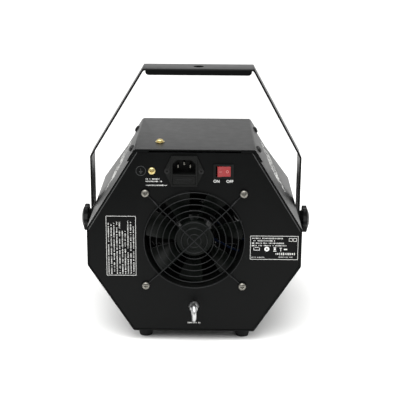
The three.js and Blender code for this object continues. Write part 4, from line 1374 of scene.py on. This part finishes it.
def bubble(i):
    """A thin ring with a round glint; its size wanders from one to the next."""
    size = (2.2 + 1.9 * (0.5 + 0.5 * math.sin(3.7 * i + 0.5))) * MM
    ring = ring_print(size, size - 0.8 * MM, -INK / 2, INK / 2, 36)
    glint = ring_print(size * 0.28, size * 0.02, -INK / 2, INK / 2, 20)
    return merged(ring, moved(glint, (size * 0.3, 0, size * 0.3)))


def slope_bubbles(side):
    """A drift of printed bubbles that rises along the slope, in place of any lettering."""
    hand = "right" if side > 0 else "left"
    normal = slope_outward(side)
    uphill = Vector((-side * normal.z, 0, abs(normal.x)))
    turn = AXIS_Y.rotation_difference(normal).to_matrix()
    lift = slope_reach(normal) + 0.03 * MM
    near = Vector((side * 94.1 * MM, PANEL_FACE - 62 * MM, 155.4 * MM + CASE_FLOOR))
    far = Vector((side * 82.1 * MM, PANEL_FACE - 134 * MM, 175.7 * MM + CASE_FLOOR))
    shapes = []
    for i in range(BUBBLES):
        swing = (9.5 * math.sin(2.4 * i) + 3.0 * math.sin(5.1 * i + 1)) * MM
        place = near.lerp(far, i / (BUBBLES - 1)) + uphill * swing
        place += normal * (lift - place.dot(normal))
        shapes.append(moved(bubble(i), place, turn))
    return rides_with(piece_of(merged(*shapes), "slope_bubbles_" + hand, white_ink), "case_shell")


def slope_reach(normal):
    """How far the case's shell reaches along a slope's normal."""
    return max(v.co.dot(normal) for v in frame["nodes"]["case_shell"].data.vertices)


switch_words()
left_label()
right_label()
panel_notes()
earth_disc()
slope_bubbles(1)
slope_bubbles(-1)


# ------------------------------------------------------------------- the remaining pieces

# How far each piece's edges are eased, in millimetres.
EASED = {
    "eye_bolt_lock_nut": 0.4,
    "pivot_washer_left": 0.3, "pivot_washer_right": 0.3, "pivot_nut_left": 0.4, "pivot_nut_right": 0.4,
    "lid_terminal_washer": 0.2, "wheel_shaft": 0.3, "knob_stud_left": 0.3, "knob_stud_right": 0.3,
    "terminal_block": 0.6, "fuse": 0.3, "lead_inlet_to_switch": 0.2, "lead_switch_to_block": 0.2,
    "lead_block_to_fan": 0.2, "lead_block_to_motor": 0.2,
}
for node_name, width_mm in EASED.items():
    softened(node_name, width_mm)
softened("bulkhead", 0.25, material=blackened_zinc_and_shade)
softened("motor_bracket", 0.3, material=blackened_zinc_and_shade)


# --------------------------------------------------------------------- floor, light, camera

def pale_floor():
    """Near white round the machine, grey behind the camera, a little darker beyond the machine."""
    bm = bmesh.new()
    bmesh.ops.create_grid(bm, x_segments=1, y_segments=1, size=30)
    material, tree, shader = start_material("pale_paper_floor", 0.9, specular=0.1)
    place = add_node(tree, "ShaderNodeTexCoord").outputs["Object"]
    parts = add_node(tree, "ShaderNodeSeparateXYZ", {0: place})
    shares = []
    for start, end in ((0.3, 0.9), (-0.2, -1.2)):
        ranges = {"Value": parts.outputs["Y"], "From Min": start, "From Max": end}
        share = add_node(tree, "ShaderNodeMapRange", ranges, interpolation_type="SMOOTHSTEP")
        shares.append(share.outputs[0])
    near = colour_between(tree, shares[0], "#f7f7f6", "#999998")
    colours = {"Factor": shares[1], 6: near, 7: linear("#d6d6d5")}
    paper = add_node(tree, "ShaderNodeMix", colours, data_type="RGBA").outputs[2]
    tree.links.new(paper, shader.inputs["Base Color"])
    floor = piece_of(bm, "floor", material)


def studio_sky():
    """Soft white from the mouth's side and above, and less from behind the camera."""
    world = bpy.data.worlds.new("studio")
    world.use_nodes = True
    bpy.context.scene.world = world
    tree = world.node_tree
    way = add_node(tree, "ShaderNodeTexCoord").outputs["Generated"]
    side = add_node(tree, "ShaderNodeVectorMath", {0: way, 1: (0, 1, -0.8)}, operation="DOT_PRODUCT")
    level = add_node(tree, "ShaderNodeMapRange", {
        "Value": side.outputs["Value"], "From Min": -0.2, "From Max": 0.8, "To Min": 1.2, "To Max": 0.1},
        interpolation_type="SMOOTHSTEP")
    background = tree.nodes["Background"]
    background.inputs["Color"].default_value = (1, 1, 1, 1)
    tree.links.new(level.outputs[0], background.inputs["Strength"])


def soft_sun():
    """A wide overhead softbox, a little towards the rear panel's side."""
    light = bpy.data.lights.new("softbox", "SUN")
    light.energy = 2.7
    light.angle = math.radians(60)
    lamp = bpy.data.objects.new("softbox", light)
    lamp.rotation_euler = (math.radians(-30), math.radians(8), 0)
    bpy.context.scene.collection.objects.link(lamp)


def camera():
    """Behind the machine and above it, looking down at the rear panel."""
    place = Vector((-13.2, 1160.2, 482.5)) * MM
    yaw, pitch, roll = -0.007, 0.294, 0.007
    forward = Vector((-math.sin(yaw) * math.cos(pitch), -math.cos(yaw) * math.cos(pitch), -math.sin(pitch)))
    right = Vector((-math.cos(yaw), math.sin(yaw), 0))
    up = right.cross(forward)
    level_right = right * math.cos(roll) + up * math.sin(roll)
    level_up = up * math.cos(roll) - right * math.sin(roll)
    data = bpy.data.cameras.new("camera")
    data.sensor_width = 36
    data.lens = 93.09
    eye = bpy.data.objects.new("camera", data)
    axes = Matrix((level_right, level_up, -forward)).transposed()
    eye.matrix_world = Matrix.Translation(place) @ axes.to_4x4()
    bpy.context.scene.collection.objects.link(eye)
    bpy.context.scene.camera = eye


pale_floor()
studio_sky()
soft_sun()
camera()
bpy.context.scene.view_settings.view_transform = "Standard"
